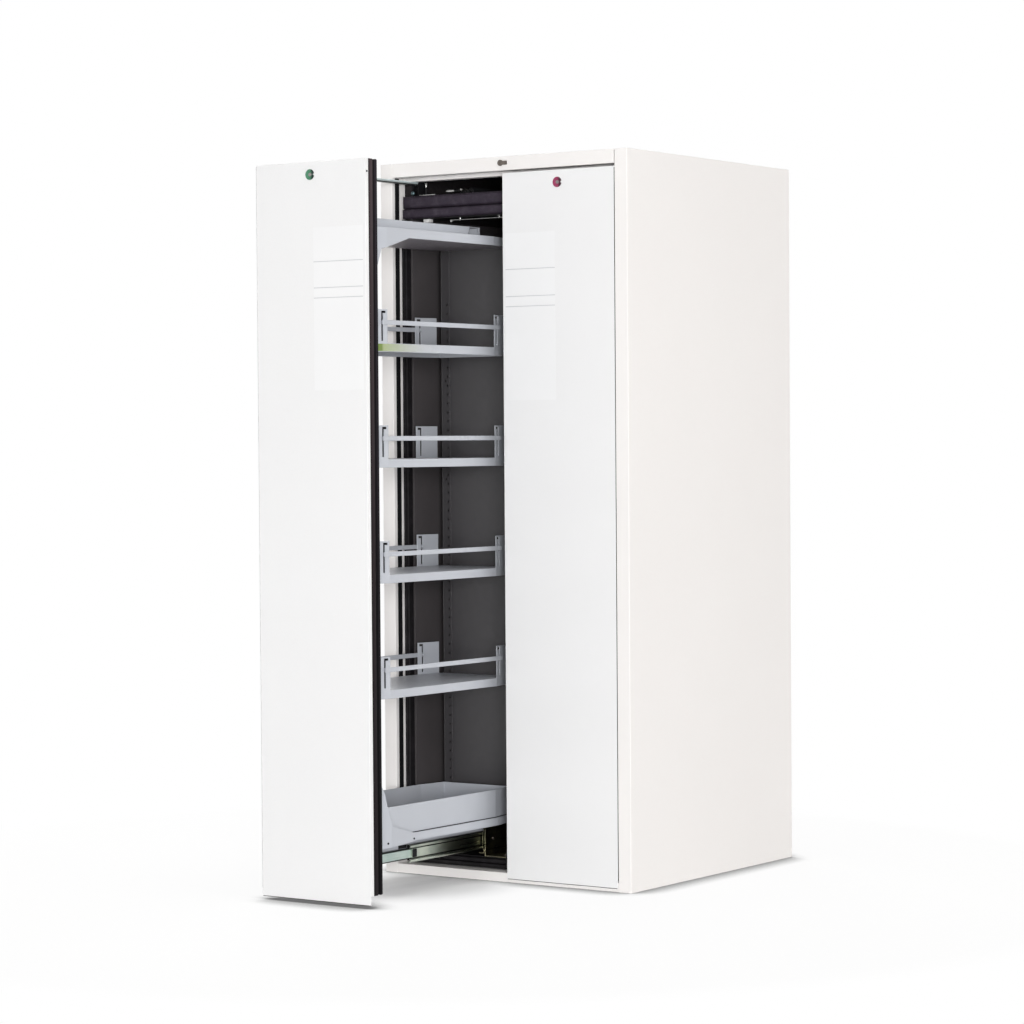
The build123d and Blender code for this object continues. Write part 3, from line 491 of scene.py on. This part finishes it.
def turned(bm, profile, centre, axis, steps=24):
    """A body turned on an axis from corners given as radius and place along it, in mm."""
    centre, axis = Vector(centre), Vector(axis).normalized()
    side = axis.orthogonal().normalized()
    line = [bm.verts.new(centre + axis * (a * mm) + side * (r * mm)) for r, a in profile]
    edges = [bm.edges.new(pair) for pair in zip(line, line[1:])]
    bmesh.ops.spin(
        bm, geom=line + edges, cent=centre, axis=axis, angle=math.tau, steps=steps, use_merge=True
    )


def folded(bm, corners, reach, thick):
    """A sheet folded along a line of corners and drawn out, its thickness to one side."""
    line = [bm.verts.new(c) for c in corners]
    edges = [bm.edges.new(pair) for pair in zip(line, line[1:])]
    out = bmesh.ops.extrude_edge_only(bm, edges=edges)["geom"]
    bmesh.ops.translate(bm, vec=reach, verts=[g for g in out if isinstance(g, bmesh.types.BMVert)])
    faces = [g for g in out if isinstance(g, bmesh.types.BMFace)]
    bmesh.ops.recalc_face_normals(bm, faces=faces)
    bmesh.ops.solidify(bm, geom=faces, thickness=thick)


def bulb(bm, low, high, round_off):
    """A soft section between two corners, crowned toward the front."""
    made = block(bm, low, high)
    front_y = Vector(low).y + hair
    edges = {e for v in made for e in v.link_edges}
    rounded(bm, [e for e in edges if all(v.co.y < front_y for v in e.verts)], round_off, 6)


def screw_head(bm, at, axis, radius=4.5):
    """A domed screw head with a round socket, its radius in mm."""
    r = radius
    profile = (
        (0, 0.9), (0.38 * r, 0.9), (0.42 * r, 2.3), (0.62 * r, 2.2), (0.9 * r, 1.5), (r, 0.6), (r, 0),
        (0, 0),
    )
    turned(bm, profile, at, axis, 16)


# Drawer locks: a coloured collar open toward the right, a dished face and a small barrel

def lock_colour_with_painted_shade(name, bright, dark, centre):
    """Enamel that darkens toward the right of the lock, as painted shade inside the dished collar."""
    f = Finish(name)
    split = f.add("ShaderNodeSeparateXYZ")
    f.join(f.placed(shift=(-centre, 0, 0)), split.inputs["Vector"])
    across = f.span(split.outputs["X"], 0, 1, 0.001, 0.008)
    tone = f.ramp(across, ((0.0, bright), (1.0, dark)), smooth=True)
    f.colour(f.blend(1.0, tone, f.span(f.noise(700, 3), 0.8, 1.0, 0.3, 0.7), "MULTIPLY"))
    f.gloss(f.span(f.noise(400, 2), 0.32, 0.5))
    f.set(Specular_IOR_Level=0.3)
    f.relief(f.noise(900, 2), 0.05, 0.0001)
    return f.material


def drawer_lock(side, centre, face_y, bright, dark):
    enamel_and_painted_shade = lock_colour_with_painted_shade(f"{side}_lock_enamel", bright, dark, centre)
    bm = bmesh.new()
    middle = Vector((centre, face_y, lock_z))
    corners = ((10.3, -0.05), (13.8, -0.05), (13.8, -1.6), (13.2, -2.2), (11.2, -2.2), (10.3, -1.2))
    ring = [bm.verts.new(middle + Vector((r * mm, d * mm, 0))) for r, d in corners]
    gap = math.radians(22)
    bmesh.ops.rotate(bm, verts=ring, cent=middle, matrix=Matrix.Rotation(gap / 2, 3, "Y"))
    edges = [bm.edges.new((a, b)) for a, b in zip(ring, ring[1:] + ring[:1])]
    first = bmesh.ops.contextual_create(bm, geom=edges)["faces"]
    loop = list({e for f in first for e in f.edges})
    bmesh.ops.spin(
        bm, geom=first + loop, cent=middle, axis=(0, 1, 0), angle=math.tau - gap, steps=40
    )
    finished(bm, f"{side}_lock_collar", f"{side}_drawer", enamel_and_painted_shade)
    bm = bmesh.new()
    dish = (
        (0, -20), (10, -20), (10, 1.2), (9.4, 1.5), (8.6, 1.2), (5.6, -0.6), (4.9, -0.6), (4.9, -2),
        (0, -2),
    )
    turned(bm, dish, middle, (0, -1, 0), 36)
    cam_half = 0.006
    block(
        bm, (centre - cam_half, face_y + 0.0201, 1.856), (centre + cam_half, face_y + 0.023, 1.898),
        0.0008,
    )
    piece = finished(bm, f"{side}_lock_dish", f"{side}_lock_core", enamel_and_painted_shade)
    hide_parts(f"{side}_lock_core")
    bm = bmesh.new()
    barrel = ((0, -1.9), (4.7, -1.9), (4.7, 0.5), (4.2, 1.0), (0, 1.0))
    turned(bm, barrel, middle, (0, -1, 0), 28)
    slot_half = 0.0034
    block(
        bm, (centre - slot_half, face_y - 0.00115, 1.8873),
        (centre + slot_half, face_y - 0.0009, 1.8887),
    )
    finished(bm, f"{side}_lock_barrel", f"{side}_lock_core", nickel)


# The dark tone of each lock is painted shade toward its right.
drawer_lock("left", -drawer_x, left_face, (0.085, 0.27, 0.155), (0.006, 0.030, 0.020))
drawer_lock("right", drawer_x, right_face, (0.36, 0.055, 0.13), (0.050, 0.004, 0.016))


# Edge profile of each drawer front, a rounded clip, a groove and a foaming strip

def front_rim(side, centre, face_y, material):
    """A ring round the front, from depths behind the face and insets from its outline in mm."""
    low_z, top_z = 0.033, 1.921
    section = (
        (13.05, 19.8), (13.05, 1.4), (13.6, 0.5), (15.0, 0.12), (18, 0.05), (27, 0.05), (30.5, 0.3),
        (32.4, 1.0), (33.4, 2.2), (34.0, 4.2), (35.0, 5.0), (40.0, 5.0), (40.8, 4.2), (41.4, 1.6),
        (42.2, 0.6), (43.4, 0.1), (46.6, 0.1), (47.8, 0.5), (48.6, 1.2), (51.0, 1.4), (52.4, 2.0),
        (53.0, 3.2), (53.0, 19.8),
    )
    bm = bmesh.new()
    rings = []
    for depth, inset in section:
        y = face_y + depth * mm
        x0, x1 = centre - front_half + inset * mm, centre + front_half - inset * mm
        z0, z1 = low_z + inset * mm, top_z - inset * mm
        ring = [bm.verts.new(c) for c in ((x0, y, z0), (x1, y, z0), (x1, y, z1), (x0, y, z1))]
        rings.append([bm.edges.new(pair) for pair in zip(ring, ring[1:] + ring[:1])])
    for near, far in zip(rings, rings[1:] + rings[:1]):
        bmesh.ops.bridge_loops(bm, edges=near + far)
    piece = finished(bm, f"{side}_front_rim", f"{side}_drawer", material, 28)
    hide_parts(f"{side}_front_seal")
    bm = bmesh.new()
    toward = 1 if side == "left" else -1
    screw_head(bm, (centre + toward * front_half, face_y + 0.0065, lock_z), (toward, 0, 0), 2.6)
    finished(bm, f"{side}_rim_screw", f"{side}_drawer", guide_black)


def front_shade_strips(side, centre, face_y):
    """Narrow dark strips along the lower and the outer edge of a drawer front, as painted shade for the
    gaps there.
    """
    outward = -1 if side == "left" else 1
    foot_half, soft = front_half - 0.002, 0.0002
    bm = bmesh.new()
    block(
        bm, (centre - foot_half, face_y + 0.0002, 0.0086),
        (centre + foot_half, face_y + 0.0011, 0.0100), soft, 1,
    )
    ends = sorted(centre + outward * (front_half + past) for past in (-0.0001, 0.0008))
    block(bm, (ends[0], face_y + 0.0008, 0.030), (ends[1], face_y + 0.0120, 1.918), soft, 1)
    finished(bm, f"{side}_front_shade_strips", f"{side}_drawer", guide_black)


front_rim("left", -drawer_x, left_face, left_edge)
front_rim("right", drawer_x, right_face, right_edge)
front_shade_strips("left", -drawer_x, left_face)
front_shade_strips("right", drawer_x, right_face)


# Opening seals: crowned bulbs that the closing drawer flattens

jamb_y = -0.3702
inner_x, outer_x = 0.001, 0.363
post_bulb = (inner_x, 0.023)
jamb_low, jamb_top = 0.056, 1.815
lintel_bulbs = ((1.8445, 1.8795), (1.817, 1.8435))
floor_bulbs = ((0.028, 0.0405), (0.0415, 0.054))
jamb_bulbs = ((0.346, 0.354), (0.355, 0.363))


def opening_bulbs(side, sign, deep, joint):
    """Bulbs round one opening; joint is the drawer that flattens them, where they can give."""
    front_y = jamb_y - deep
    deepest = 0.72 * deep

    def lying(heights):
        return [
            ((inner_x, low), (outer_x, high), min(0.42 * (high - low), deepest))
            for low, high in heights
        ]

    standing = [
        ((near, jamb_low), (far, jamb_top), min(0.44 * (far - near), deepest))
        for near, far in jamb_bulbs + (post_bulb,)
    ]
    for name, runs, rubber in (
        ("lintel", lying(lintel_bulbs), seal_dark),
        # Floor and jamb bulbs take the seal rubber darkened as painted shade.
        ("frame", lying(floor_bulbs) + standing, seal_rubber_painted_shade),
    ):
        bm = bmesh.new()
        for (near, low), (far, high), crown in runs:
            ends = sorted((sign * near, sign * far))
            bulb(bm, (ends[0], front_y, low), (ends[1], jamb_y, high), crown)
        piece = finished(bm, f"{side}_{name}_bulbs", "cabinet", rubber, 50)
        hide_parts("opening_seals")
        if joint:
            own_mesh(piece)


def return_strips():
    """Heat strips stuck on the inside of the side panels' returns."""
    bm = bmesh.new()
    for sign in (-1, 1):
        ends = sorted((sign * 0.364, sign * 0.365))
        block(bm, (ends[0], -0.4175, 0.033), (ends[1], -0.3985, 1.9280), 0.0003)
    piece = finished(bm, "return_strips", "cabinet", guide_black)
    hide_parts("opening_seals")


opening_bulbs("left", -1, 0.021, "left_drawer_slide")
opening_bulbs("right", 1, 0.006, None)
return_strips()


# Closing gear above the compartment: dampers, bar guides and the release

def closing_dampers():
    bm = bmesh.new()
    for sign in (-1, 1):
        x = sign * drawer_x
        body = (
            (0, 0), (6, 0), (9.5, 1.5), (11, 4), (11, 340), (10.4, 343), (8.5, 345), (8.5, 350),
            (0, 350),
        )
        turned(bm, body, (x, -0.3102, damper_z), (0, 1, 0), 28)
        neck = ((0, 0), (3.4, 0), (3.4, 18), (0, 18))
        turned(bm, neck, (x, link_y, link_z), (sign, 0, 0))
        for near in (-0.3362, -0.2602, -0.0102):
            block(bm, (x - 0.014, near, deck_z), (x + 0.014, near + 0.012, damper_z), 0.0022, 3)
    piece = finished(bm, "closing_dampers", "cabinet", guide_black)
    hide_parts("closing_gear")
    bm = bmesh.new()
    for sign in (-1, 1):
        x = sign * drawer_x
        rod = ((0, 0), (3.2, 0), (4, 1), (4, 46), (0, 46))
        turned(bm, rod, (x, -0.3562, damper_z), (0, 1, 0))
        link = ((0, 16), (2.4, 16.5), (3.6, 18), (4.2, 22), (4.2, 38), (3.6, 43), (2.4, 46), (0, 47))
        turned(bm, link, (x, link_y, link_z), (sign, 0, 0))
    piece = finished(bm, "damper_links", "cabinet", bright_steel)
    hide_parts("closing_gear")


def bar_guides():
    bm = bmesh.new()
    for sign in (-1, 1):
        for near, far in ((0.3195, 0.3222), (0.3378, 0.3405)):
            ends = sorted((sign * near, sign * far))
            made = set(bm.edges)
            block(bm, (ends[0], -0.3685, deck_z), (ends[1], -0.338, 1.9192))
            across = [e for e in set(bm.edges) - made if abs(e.verts[0].co.x - e.verts[1].co.x) > mm]
            rounded(bm, [e for e in across if e.verts[0].co.z > 1.9], 0.009, 6)
        wheel = ((0, -6.8), (6.5, -6.8), (8.5, -5), (8, -2.5), (8, 2.5), (8.5, 5), (6.5, 6.8), (0, 6.8))
        turned(bm, wheel, (sign * 0.330, -0.3502, 1.900), (1, 0, 0))
        ends = sorted((sign * 0.3195, sign * 0.3405))
        block(bm, (ends[0], -0.3685, deck_z), (ends[1], -0.334, 1.8785), 0.0008)
        shaft = ((0, 0), (5.5, 0), (5.5, 3), (2.8, 3.6), (2.8, 22), (0, 22))
        turned(bm, shaft, (sign * shaft_x, shaft_y, shaft_z), (0, 0, 1))
    piece = finished(bm, "bar_guides", "cabinet", guide_black)
    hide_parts("closing_gear")


def release_gear():
    bm = bmesh.new()
    for sign in (-1, 1):
        ends = sorted((sign * 0.317, sign * 0.262))
        block(bm, (ends[0], -0.3695, 1.8803), (ends[1], -0.344, 1.8823), 0.0006)
        for x in (0.311, 0.268):
            foot = sorted((sign * (x - 0.004), sign * (x + 0.004)))
            block(bm, (foot[0], -0.366, deck_z), (foot[1], -0.350, 1.8804), 0.001)
        pin = ((0, 22), (2.2, 22), (2.2, 26), (3.6, 26.6), (3.6, 32), (2.6, 33.5), (0, 33.5))
        turned(bm, pin, (sign * shaft_x, shaft_y, shaft_z), (0, 0, 1))
        rod = ((0, 0), (1.5, 0.4), (1.5, 191.6), (0, 192))
        turned(bm, rod, (sign * 0.026, rod_y, rod_z), (sign, 0, 0), 12)
        eye = ((0, -1.5), (2.6, -1.5), (2.6, 1.5), (0, 1.5))
        hanger = ((0, 0), (4.5, 0), (4.5, 1), (2, 2), (2, 4.5), (0, 4.5))
        for x in (0.060, 0.190):
            turned(bm, eye, (sign * x, rod_y, rod_z), (1, 0, 0), 16)
            turned(bm, hanger, (sign * x, rod_y, 1.815), (0, 0, -1), 14)
        hook = ((1.6, -0.8), (3.2, -0.8), (3.2, 0.8), (1.6, 0.8), (1.6, -0.8))
        turned(bm, hook, (sign * 0.2205, rod_y, 1.8075), (0, 1, 0), 18)
    piece = finished(bm, "release_gear", "cabinet", bright_steel)
    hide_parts("closing_gear")
    bm = bmesh.new()
    for sign in (-1, 1):
        dome = ((0, 0), (6.6, 0), (6.6, 1.0), (5.6, 2.8), (3.2, 4.2), (0, 4.8))
        turned(bm, dome, (sign * 0.3385, -0.3685, 1.888), (0, -1, 0))
    finished(bm, "guide_domes", "cabinet", dome_zinc)
    bm = bmesh.new()
    for sign in (-1, 1):
        ends = sorted((sign * 0.304, sign * 0.283))
        block(bm, (ends[0], -0.3685, 1.805), (ends[1], -0.350, 1.815), 0.0018, 3)
        block(bm, (ends[0] + 0.005, -0.3692, 1.8075), (ends[1] - 0.005, -0.3682, 1.8125), 0.0004)
    finished(bm, "ceiling_clips", "cabinet", clip_white)


closing_dampers()
bar_guides()
release_gear()


# Telescopic slides: rolled members with a race along each edge; sections in mm from the drawer's centre

middle_section = (
    (53, 122.6), (55, 124), (62.4, 124), (64.2, 122.8), (64.6, 121.6), (66.2, 120.9), (67, 119),
    (66.9, 116.6), (65.4, 114.6), (62.9, 113.6), (62.6, 112.2), (63.6, 110.8), (63.6, 88.2),
    (62.6, 86.8), (62.9, 85.4), (65.4, 84.4), (66.9, 82.4), (67, 80), (66.2, 78.1), (64.6, 77.4),
    (64.2, 76.2), (62.4, 75), (55, 75), (53, 76.4),
)
inner_section = (
    (50.4, 113.2), (52.4, 114.4), (57.4, 114.4), (58.6, 113.4), (58.2, 112.2), (59.9, 110.8),
    (59.9, 88.2), (58.2, 86.8), (58.6, 85.6), (57.4, 84.6), (52.4, 84.6), (50.4, 85.8),
)
outer_section = (
    (56.5, 133.4), (58.5, 135.2), (69.5, 135.2), (73, 133.8), (74.5, 130), (74, 125.8), (71.6, 122.6),
    (70.2, 120.4), (70, 118), (70, 81), (70.2, 78.6), (71.6, 76.4), (74, 73.2), (74.5, 69),
    (73, 65.2), (69.5, 63.8), (58.5, 63.8), (56.5, 65.6),
)
race_corners = 11
slide_metal = 0.0016


def rolled_member(bm, section, centre, sign, start, long):
    line = [(centre + sign * u * mm, start, z * mm) for u, z in section]
    folded(bm, line, (0, long, 0), slide_metal)


def slide_members():
    bm = bmesh.new()
    for centre in (-drawer_x, drawer_x):
        for sign in (-1, 1):
            rolled_member(bm, outer_section, centre, sign, -0.372, 0.700)
    piece = finished(bm, "outer_members", "cabinet", outer_zinc)
    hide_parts("slide_outers")
    middle_starts = {"left": -0.7127 + 0.010, "right": -0.37356 + 0.010}
    for side, centre, face_y in drawers:
        start = middle_starts[side]
        bm = bmesh.new()
        for sign in (-1, 1):
            rolled_member(bm, middle_section[:race_corners], centre, sign, start, 0.0112)
            rolled_member(bm, middle_section[-race_corners:], centre, sign, start, 0.0112)
            rolled_member(bm, middle_section, centre, sign, start + 0.011, 0.639)
        piece = finished(bm, f"{side}_middle_members", f"{side}_slide_middle", middle_zinc)
        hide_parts(f"{side}_slide_middle")
        bm = bmesh.new()
        for sign in (-1, 1):
            rolled_member(bm, inner_section, centre, sign, face_y + 0.0535, 0.6595)
        piece = finished(bm, f"{side}_inner_members", f"{side}_drawer", inner_zinc)
        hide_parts(f"{side}_slide_inner")
        bm = bmesh.new()
        for sign in (-1, 1):
            ends = sorted((centre + sign * 0.0612, centre + sign * 0.0655))
            block(bm, (ends[0], start + 0.0115, 0.0885), (ends[1], start + 0.032, 0.1105), 0.002, 4)
            ends = sorted((centre + sign * 0.0540, centre + sign * 0.0640))
            block(bm, (ends[0], start + 0.0005, 0.1144), (ends[1], start + 0.022, 0.1225), 0.001)
        finished(bm, f"{side}_slide_stops", f"{side}_slide_middle", guide_black)
        bm = bmesh.new()
        for sign in (-1, 1):
            ends = sorted((centre + sign * 0.05005, centre + sign * 0.0516))
            block(bm, (ends[0], face_y + 0.290, 0.1148), (ends[1], face_y + 0.325, 0.1235), 0.0006)
        finished(bm, f"{side}_slide_catches", f"{side}_drawer", guide_black)


slide_members()


# Screws in the drawer frames, the slide brackets, the back and the roof collar

def frame_screws():
    for side, centre, face_y in drawers:
        bm = bmesh.new()
        for sign in (-1, 1):
            lean = Vector((sign * math.cos(gusset_slope), -math.sin(gusset_slope), 0))
            screw_head(bm, (centre + sign * 0.13147, face_y + 0.1375, 0.1515), lean, 3.0)
            screw_head(bm, (centre + sign * frame_half, face_y + 0.2466, 0.1533), (sign, 0, 0), 3.0)
        finished(bm, f"{side}_frame_screws", f"{side}_drawer", guide_black)
    bm = bmesh.new()
    for centre in (-drawer_x, drawer_x):
        for sign in (-1, 1):
            for y in (-0.3334, -0.05, 0.25):
                screw_head(bm, (centre + sign * 0.077, y, 0.1024), (sign, 0, 0), 4.0)
                screw_head(bm, (centre + sign * 0.118, y, 0.0585), (0, 0, 1))
    finished(bm, "bracket_screws", "cabinet", lock_case)
    bm = bmesh.new()
    sides, rows = (-0.385, 0.385), (0.06, 0.43, 0.80, 1.17, 1.54, 1.91)
    for z in rows:
        for x in sides:
            screw_head(bm, (x, back_y, z), (0, 1, 0))
    for x in (-0.19, 0.0, 0.19):
        for z in (rows[0], rows[-1]):
            screw_head(bm, (x, back_y, z), (0, 1, 0))
    for x in sides:
        for y in (-0.36, 0.0, 0.36):
            screw_head(bm, (x, y, roof_z), (0, 0, 1))
    finished(bm, "shell_screws", "cabinet", bright_steel)
    bm = bmesh.new()
    for turn in (45, 135, 225, 315):
        a = math.radians(turn)
        x, y = collar_radius * math.cos(a), spigot_y + collar_radius * math.sin(a)
        screw_head(bm, (x, y, 1.9675), (0, 0, 1), 3.5)
    finished(bm, "collar_screws", "cabinet", bright_steel)


frame_screws()


# Plastic strips behind the shelves' front slots, and a dark ring round each sump as painted shade

def slot_strips():
    for side, centre, face_y in drawers:
        bm = bmesh.new()
        for top in shelf_tops:
            for sign in (-1, 1):
                made = set(bm.verts)
                block(bm, (-0.0005, -0.017, top + 0.004), (0.0005, 0.017, top + 0.086), 0.0002, 1)
                strip = list(set(bm.verts) - made)
                turn = Matrix.Rotation(-sign * gusset_slope, 3, "Z")
                bmesh.ops.rotate(bm, verts=strip, cent=(0, 0, 0), matrix=turn)
                place = (centre + sign * 0.1205, face_y + 0.141, 0)
                bmesh.ops.translate(bm, verts=strip, vec=place)
        finished(bm, f"{side}_slot_strips", f"{side}_drawer", guide_black)


def sump_shade_rings():
    """A narrow dark ring round the sump where it sinks into the base tray, as painted shade for the gap
    there.
    """
    front, rear_bend, rear = 0.122, 0.633, 0.723
    for side, centre, face_y in drawers:
        bm = bmesh.new()
        rings = []
        for inset, z in ((6.9, 168.2), (5.6, 168.6), (5.6, 170.2), (6.9, 170.6)):
            wide = frame_half - inset * mm
            nose = wide - (gusset_bend - front) * gusset_in_mm / gusset_long_mm
            tail = wide - (rear - rear_bend) * gusset_in_mm / tail_long_mm
            half = ((tail, rear), (wide, rear_bend), (wide, gusset_bend), (nose, front))
            plan = list(half) + [(-u, d) for u, d in reversed(half)]
            ring = [bm.verts.new((centre + u, face_y + d, z * mm)) for u, d in plan]
            rings.append([bm.edges.new(pair) for pair in zip(ring, ring[1:] + ring[:1])])
        for low, high in zip(rings, rings[1:] + rings[:1]):
            bmesh.ops.bridge_loops(bm, edges=low + high)
        finished(bm, f"{side}_sump_shade_ring", f"{side}_drawer", guide_black)


slot_strips()
sump_shade_rings()


# Plain marking strip on the top shelf's flange, green fading into the flange's grey

strip_start, strip_end = 0.101, 0.400


def marking_film(name, start):
    f = Finish(name)
    split = f.add("ShaderNodeSeparateXYZ")
    f.join(f.placed(shift=(0, -start, 0)), split.inputs["Vector"])
    along = f.span(split.outputs["Y"], 0, 1, 0.0, 0.30)
    fade = f.ramp(along, (
        (0.00, (0.165, 0.245, 0.050)),
        (0.095, (0.175, 0.255, 0.055)),
        (0.115, (0.37, 0.43, 0.23)),
        (0.40, (0.445, 0.475, 0.40)),
        (0.70, (0.497, 0.513, 0.538)),
        (1.00, (0.501, 0.520, 0.557)),
    ))
    f.colour(f.blend(1.0, fade, f.span(f.noise(60, 4), 0.94, 1.0, 0.3, 0.7), "MULTIPLY"))
    f.gloss(f.span(f.noise(140, 2), 0.3, 0.42))
    f.relief(f.noise(500, 2), 0.03, 0.0002)
    return f.material


def marking_strip():
    bm = bmesh.new()
    off, low_z, tall, thick = 0.0001, 1.4335, 0.019, 0.00025
    line = []
    for depth in (strip_start, gusset_bend, strip_end):
        reach = frame_half - max(0.0, gusset_bend - depth) * gusset_in_mm / gusset_long_mm
        line.append((-drawer_x + reach + off, left_face + depth, low_z))
    folded(bm, line, (0, 0, tall), thick)
    film = marking_film("marking_film", left_face + strip_start)
    finished(bm, "marking_strip", "left_drawer", film)


marking_strip()


# Blank films on the drawer fronts

def front_film(side, low_x, high_x, low_z, high_z, face_y, lines):
    bm = bmesh.new()
    near, far = face_y - 0.25 * mm, face_y - 0.02 * mm
    block(bm, (low_x, near, low_z), (high_x, far, high_z), 0.08 * mm, 1)
    film = blank_film(f"{side}_film", lines)
    finished(bm, f"{side}_front_film", f"{side}_drawer", film)


front_film("left", -0.175, -0.015, 1.332, 1.751, left_face, (1.663, 1.5957, 1.5697))
front_film("right", 0.015, 0.175, 1.308, 1.758, right_face, (1.6608, 1.5877, 1.5605))


# Floor, light and camera

def studio_floor():
    """Pale floor that keeps the shadow near the object and runs out to white."""
    bm = bmesh.new()
    bmesh.ops.create_grid(bm, x_segments=2, y_segments=2, size=40)
    mesh = bpy.data.meshes.new("studio_floor")
    bm.to_mesh(mesh)
    bm.free()
    floor = bpy.data.objects.new("studio_floor", mesh)
    floor.location.z = -0.0003
    scene.collection.objects.link(floor)
    f = Finish("pale_floor")
    f.colour(f.ramp(f.noise(0.6, 2), ((0.3, (0.77, 0.77, 0.77)), (0.7, (0.79, 0.79, 0.79)))))
    f.set(Roughness=0.9, Specular_IOR_Level=0.2)
    path = f.add("ShaderNodeLightPath")
    seen = f.add("ShaderNodeMath", operation="MAXIMUM")
    f.join(path.outputs["Is Camera Ray"], seen.inputs[0])
    f.join(path.outputs["Is Glossy Ray"], seen.inputs[1])
    away = f.add("ShaderNodeVectorMath", operation="LENGTH")
    f.join(f.placed(shift=(0.15, 0.5, 0)), away.inputs[0])
    under = f.add("ShaderNodeVectorMath", operation="LENGTH")
    f.join(f.placed((3.85, 3.33, 1), (0.62, 2.0, 0)), under.inputs[0])
    lift = f.add("ShaderNodeEmission")
    f.join(seen.outputs[0], lift.inputs["Color"])
    lift.inputs["Strength"].default_value = 0.19
    near = f.add("ShaderNodeAddShader")
    f.join(f.shader.outputs["BSDF"], near.inputs[0])
    f.join(lift.outputs["Emission"], near.inputs[1])
    white = f.add("ShaderNodeEmission")
    white.inputs["Strength"].default_value = 1.0
    clear = f.add("ShaderNodeMath", operation="MAXIMUM")
    f.join(f.span(under.outputs["Value"], 0, 0.86, 0.6, 1.15), clear.inputs[0])
    f.join(f.span(away.outputs["Value"], 0, 1, 0.8, 1.9), clear.inputs[1])
    far = f.add("ShaderNodeMath", operation="MULTIPLY")
    f.join(clear.outputs[0], far.inputs[0])
    f.join(seen.outputs[0], far.inputs[1])
    # Painted contact shadow: ambient occlusion darkens the floor near the object for camera rays.
    close = f.add("ShaderNodeAmbientOcclusion", samples=16)
    close.inputs["Distance"].default_value = 0.12
    shade = f.add("ShaderNodeMath", operation="MULTIPLY")
    f.join(f.span(close.outputs["AO"], 0.85, 0, 0.45, 0.88), shade.inputs[0])
    f.join(path.outputs["Is Camera Ray"], shade.inputs[1])
    dark = f.add("ShaderNodeBsdfDiffuse")
    dark.inputs["Color"].default_value = (0.1, 0.1, 0.1, 1)
    contact = f.add("ShaderNodeMixShader")
    f.join(shade.outputs[0], contact.inputs["Fac"])
    run_out = f.add("ShaderNodeMixShader")
    f.join(far.outputs[0], run_out.inputs["Fac"])
    f.join(near.outputs["Shader"], run_out.inputs[1])
    f.join(white.outputs["Emission"], run_out.inputs[2])
    f.join(run_out.outputs["Shader"], contact.inputs[1])
    f.join(dark.outputs["BSDF"], contact.inputs[2])
    f.join(contact.outputs["Shader"], f.tree.nodes["Material Output"].inputs["Surface"])
    mesh.materials.append(f.material)


def studio_world():
    world = bpy.data.worlds.new("studio")
    scene.world = world
    world.use_nodes = True
    tree = world.node_tree
    back = tree.nodes["Background"]
    back.inputs["Color"].default_value = (1.0, 0.985, 0.97, 1)
    back.inputs["Strength"].default_value = 0.30
    white = tree.nodes.new("ShaderNodeBackground")
    white.inputs["Color"].default_value = (1, 1, 1, 1)
    white.inputs["Strength"].default_value = 1.0
    path = tree.nodes.new("ShaderNodeLightPath")
    first = tree.nodes.new("ShaderNodeMath")
    first.operation = "MAXIMUM"
    tree.links.new(path.outputs["Is Camera Ray"], first.inputs[0])
    tree.links.new(path.outputs["Is Glossy Ray"], first.inputs[1])
    both = tree.nodes.new("ShaderNodeMath")
    both.operation = "MAXIMUM"
    tree.links.new(first.outputs[0], both.inputs[0])
    tree.links.new(path.outputs["Is Transmission Ray"], both.inputs[1])
    mix = tree.nodes.new("ShaderNodeMixShader")
    tree.links.new(both.outputs[0], mix.inputs["Fac"])
    tree.links.new(back.outputs["Background"], mix.inputs[1])
    tree.links.new(white.outputs["Background"], mix.inputs[2])
    tree.links.new(mix.outputs["Shader"], tree.nodes["World Output"].inputs["Surface"])


def softbox(name, at, toward, size, power, colour):
    light = bpy.data.lights.new(name, "AREA")
    light.shape = "RECTANGLE"
    light.size, light.size_y = size
    light.energy = power
    light.color = colour
    lamp = bpy.data.objects.new(name, light)
    lamp.location = at
    lamp.rotation_euler = (Vector(toward) - Vector(at)).to_track_quat("-Z", "Y").to_euler()
    scene.collection.objects.link(lamp)


def camera():
    lens = bpy.data.cameras.new("camera")
    lens.sensor_width = 36
    lens.lens = 109.145
    lens.shift_x = 0.0119
    lens.shift_y = 0.0164
    lens.clip_end = 100
    eye = bpy.data.objects.new("camera", lens)
    right = Vector((0.82103798, 0.57082872, -0.00715679))
    up = -Vector((0.00978523, -0.02660686, -0.99959808))
    behind = -Vector((-0.57078971, 0.82063795, -0.02743093))
    turn = Matrix((right, up, behind)).transposed()
    eye.matrix_world = Matrix.Translation((4.7942, -7.3371, 1.19136)) @ turn.to_4x4()
    scene.collection.objects.link(eye)
    scene.camera = eye


studio_floor()
studio_world()
softbox("front_box", (8.8, -11.2, 1.3), (0, -0.4, 1.0), (3.6, 3.6), 1430, (0.985, 0.99, 1.0))
softbox("left_box", (-7.0, -1.5, 1.8), (0, 0, 1.0), (3.0, 3.0), 110, (1, 1, 1))
softbox("side_box", (6.5, -1.6, 3.0), (0, 0, 1.0), (3.5, 3.5), 45, (1.0, 0.975, 0.955))
softbox("top_box", (0.5, -1.0, 14.0), (0, 0, 0), (9, 9), 830, (1, 1, 1))
softbox("rear_box", (-6.0, 6.0, 3.0), (0, 0, 1.0), (3.5, 3.5), 190, (1, 1, 1))
camera()

scene.view_settings.view_transform = "Standard"
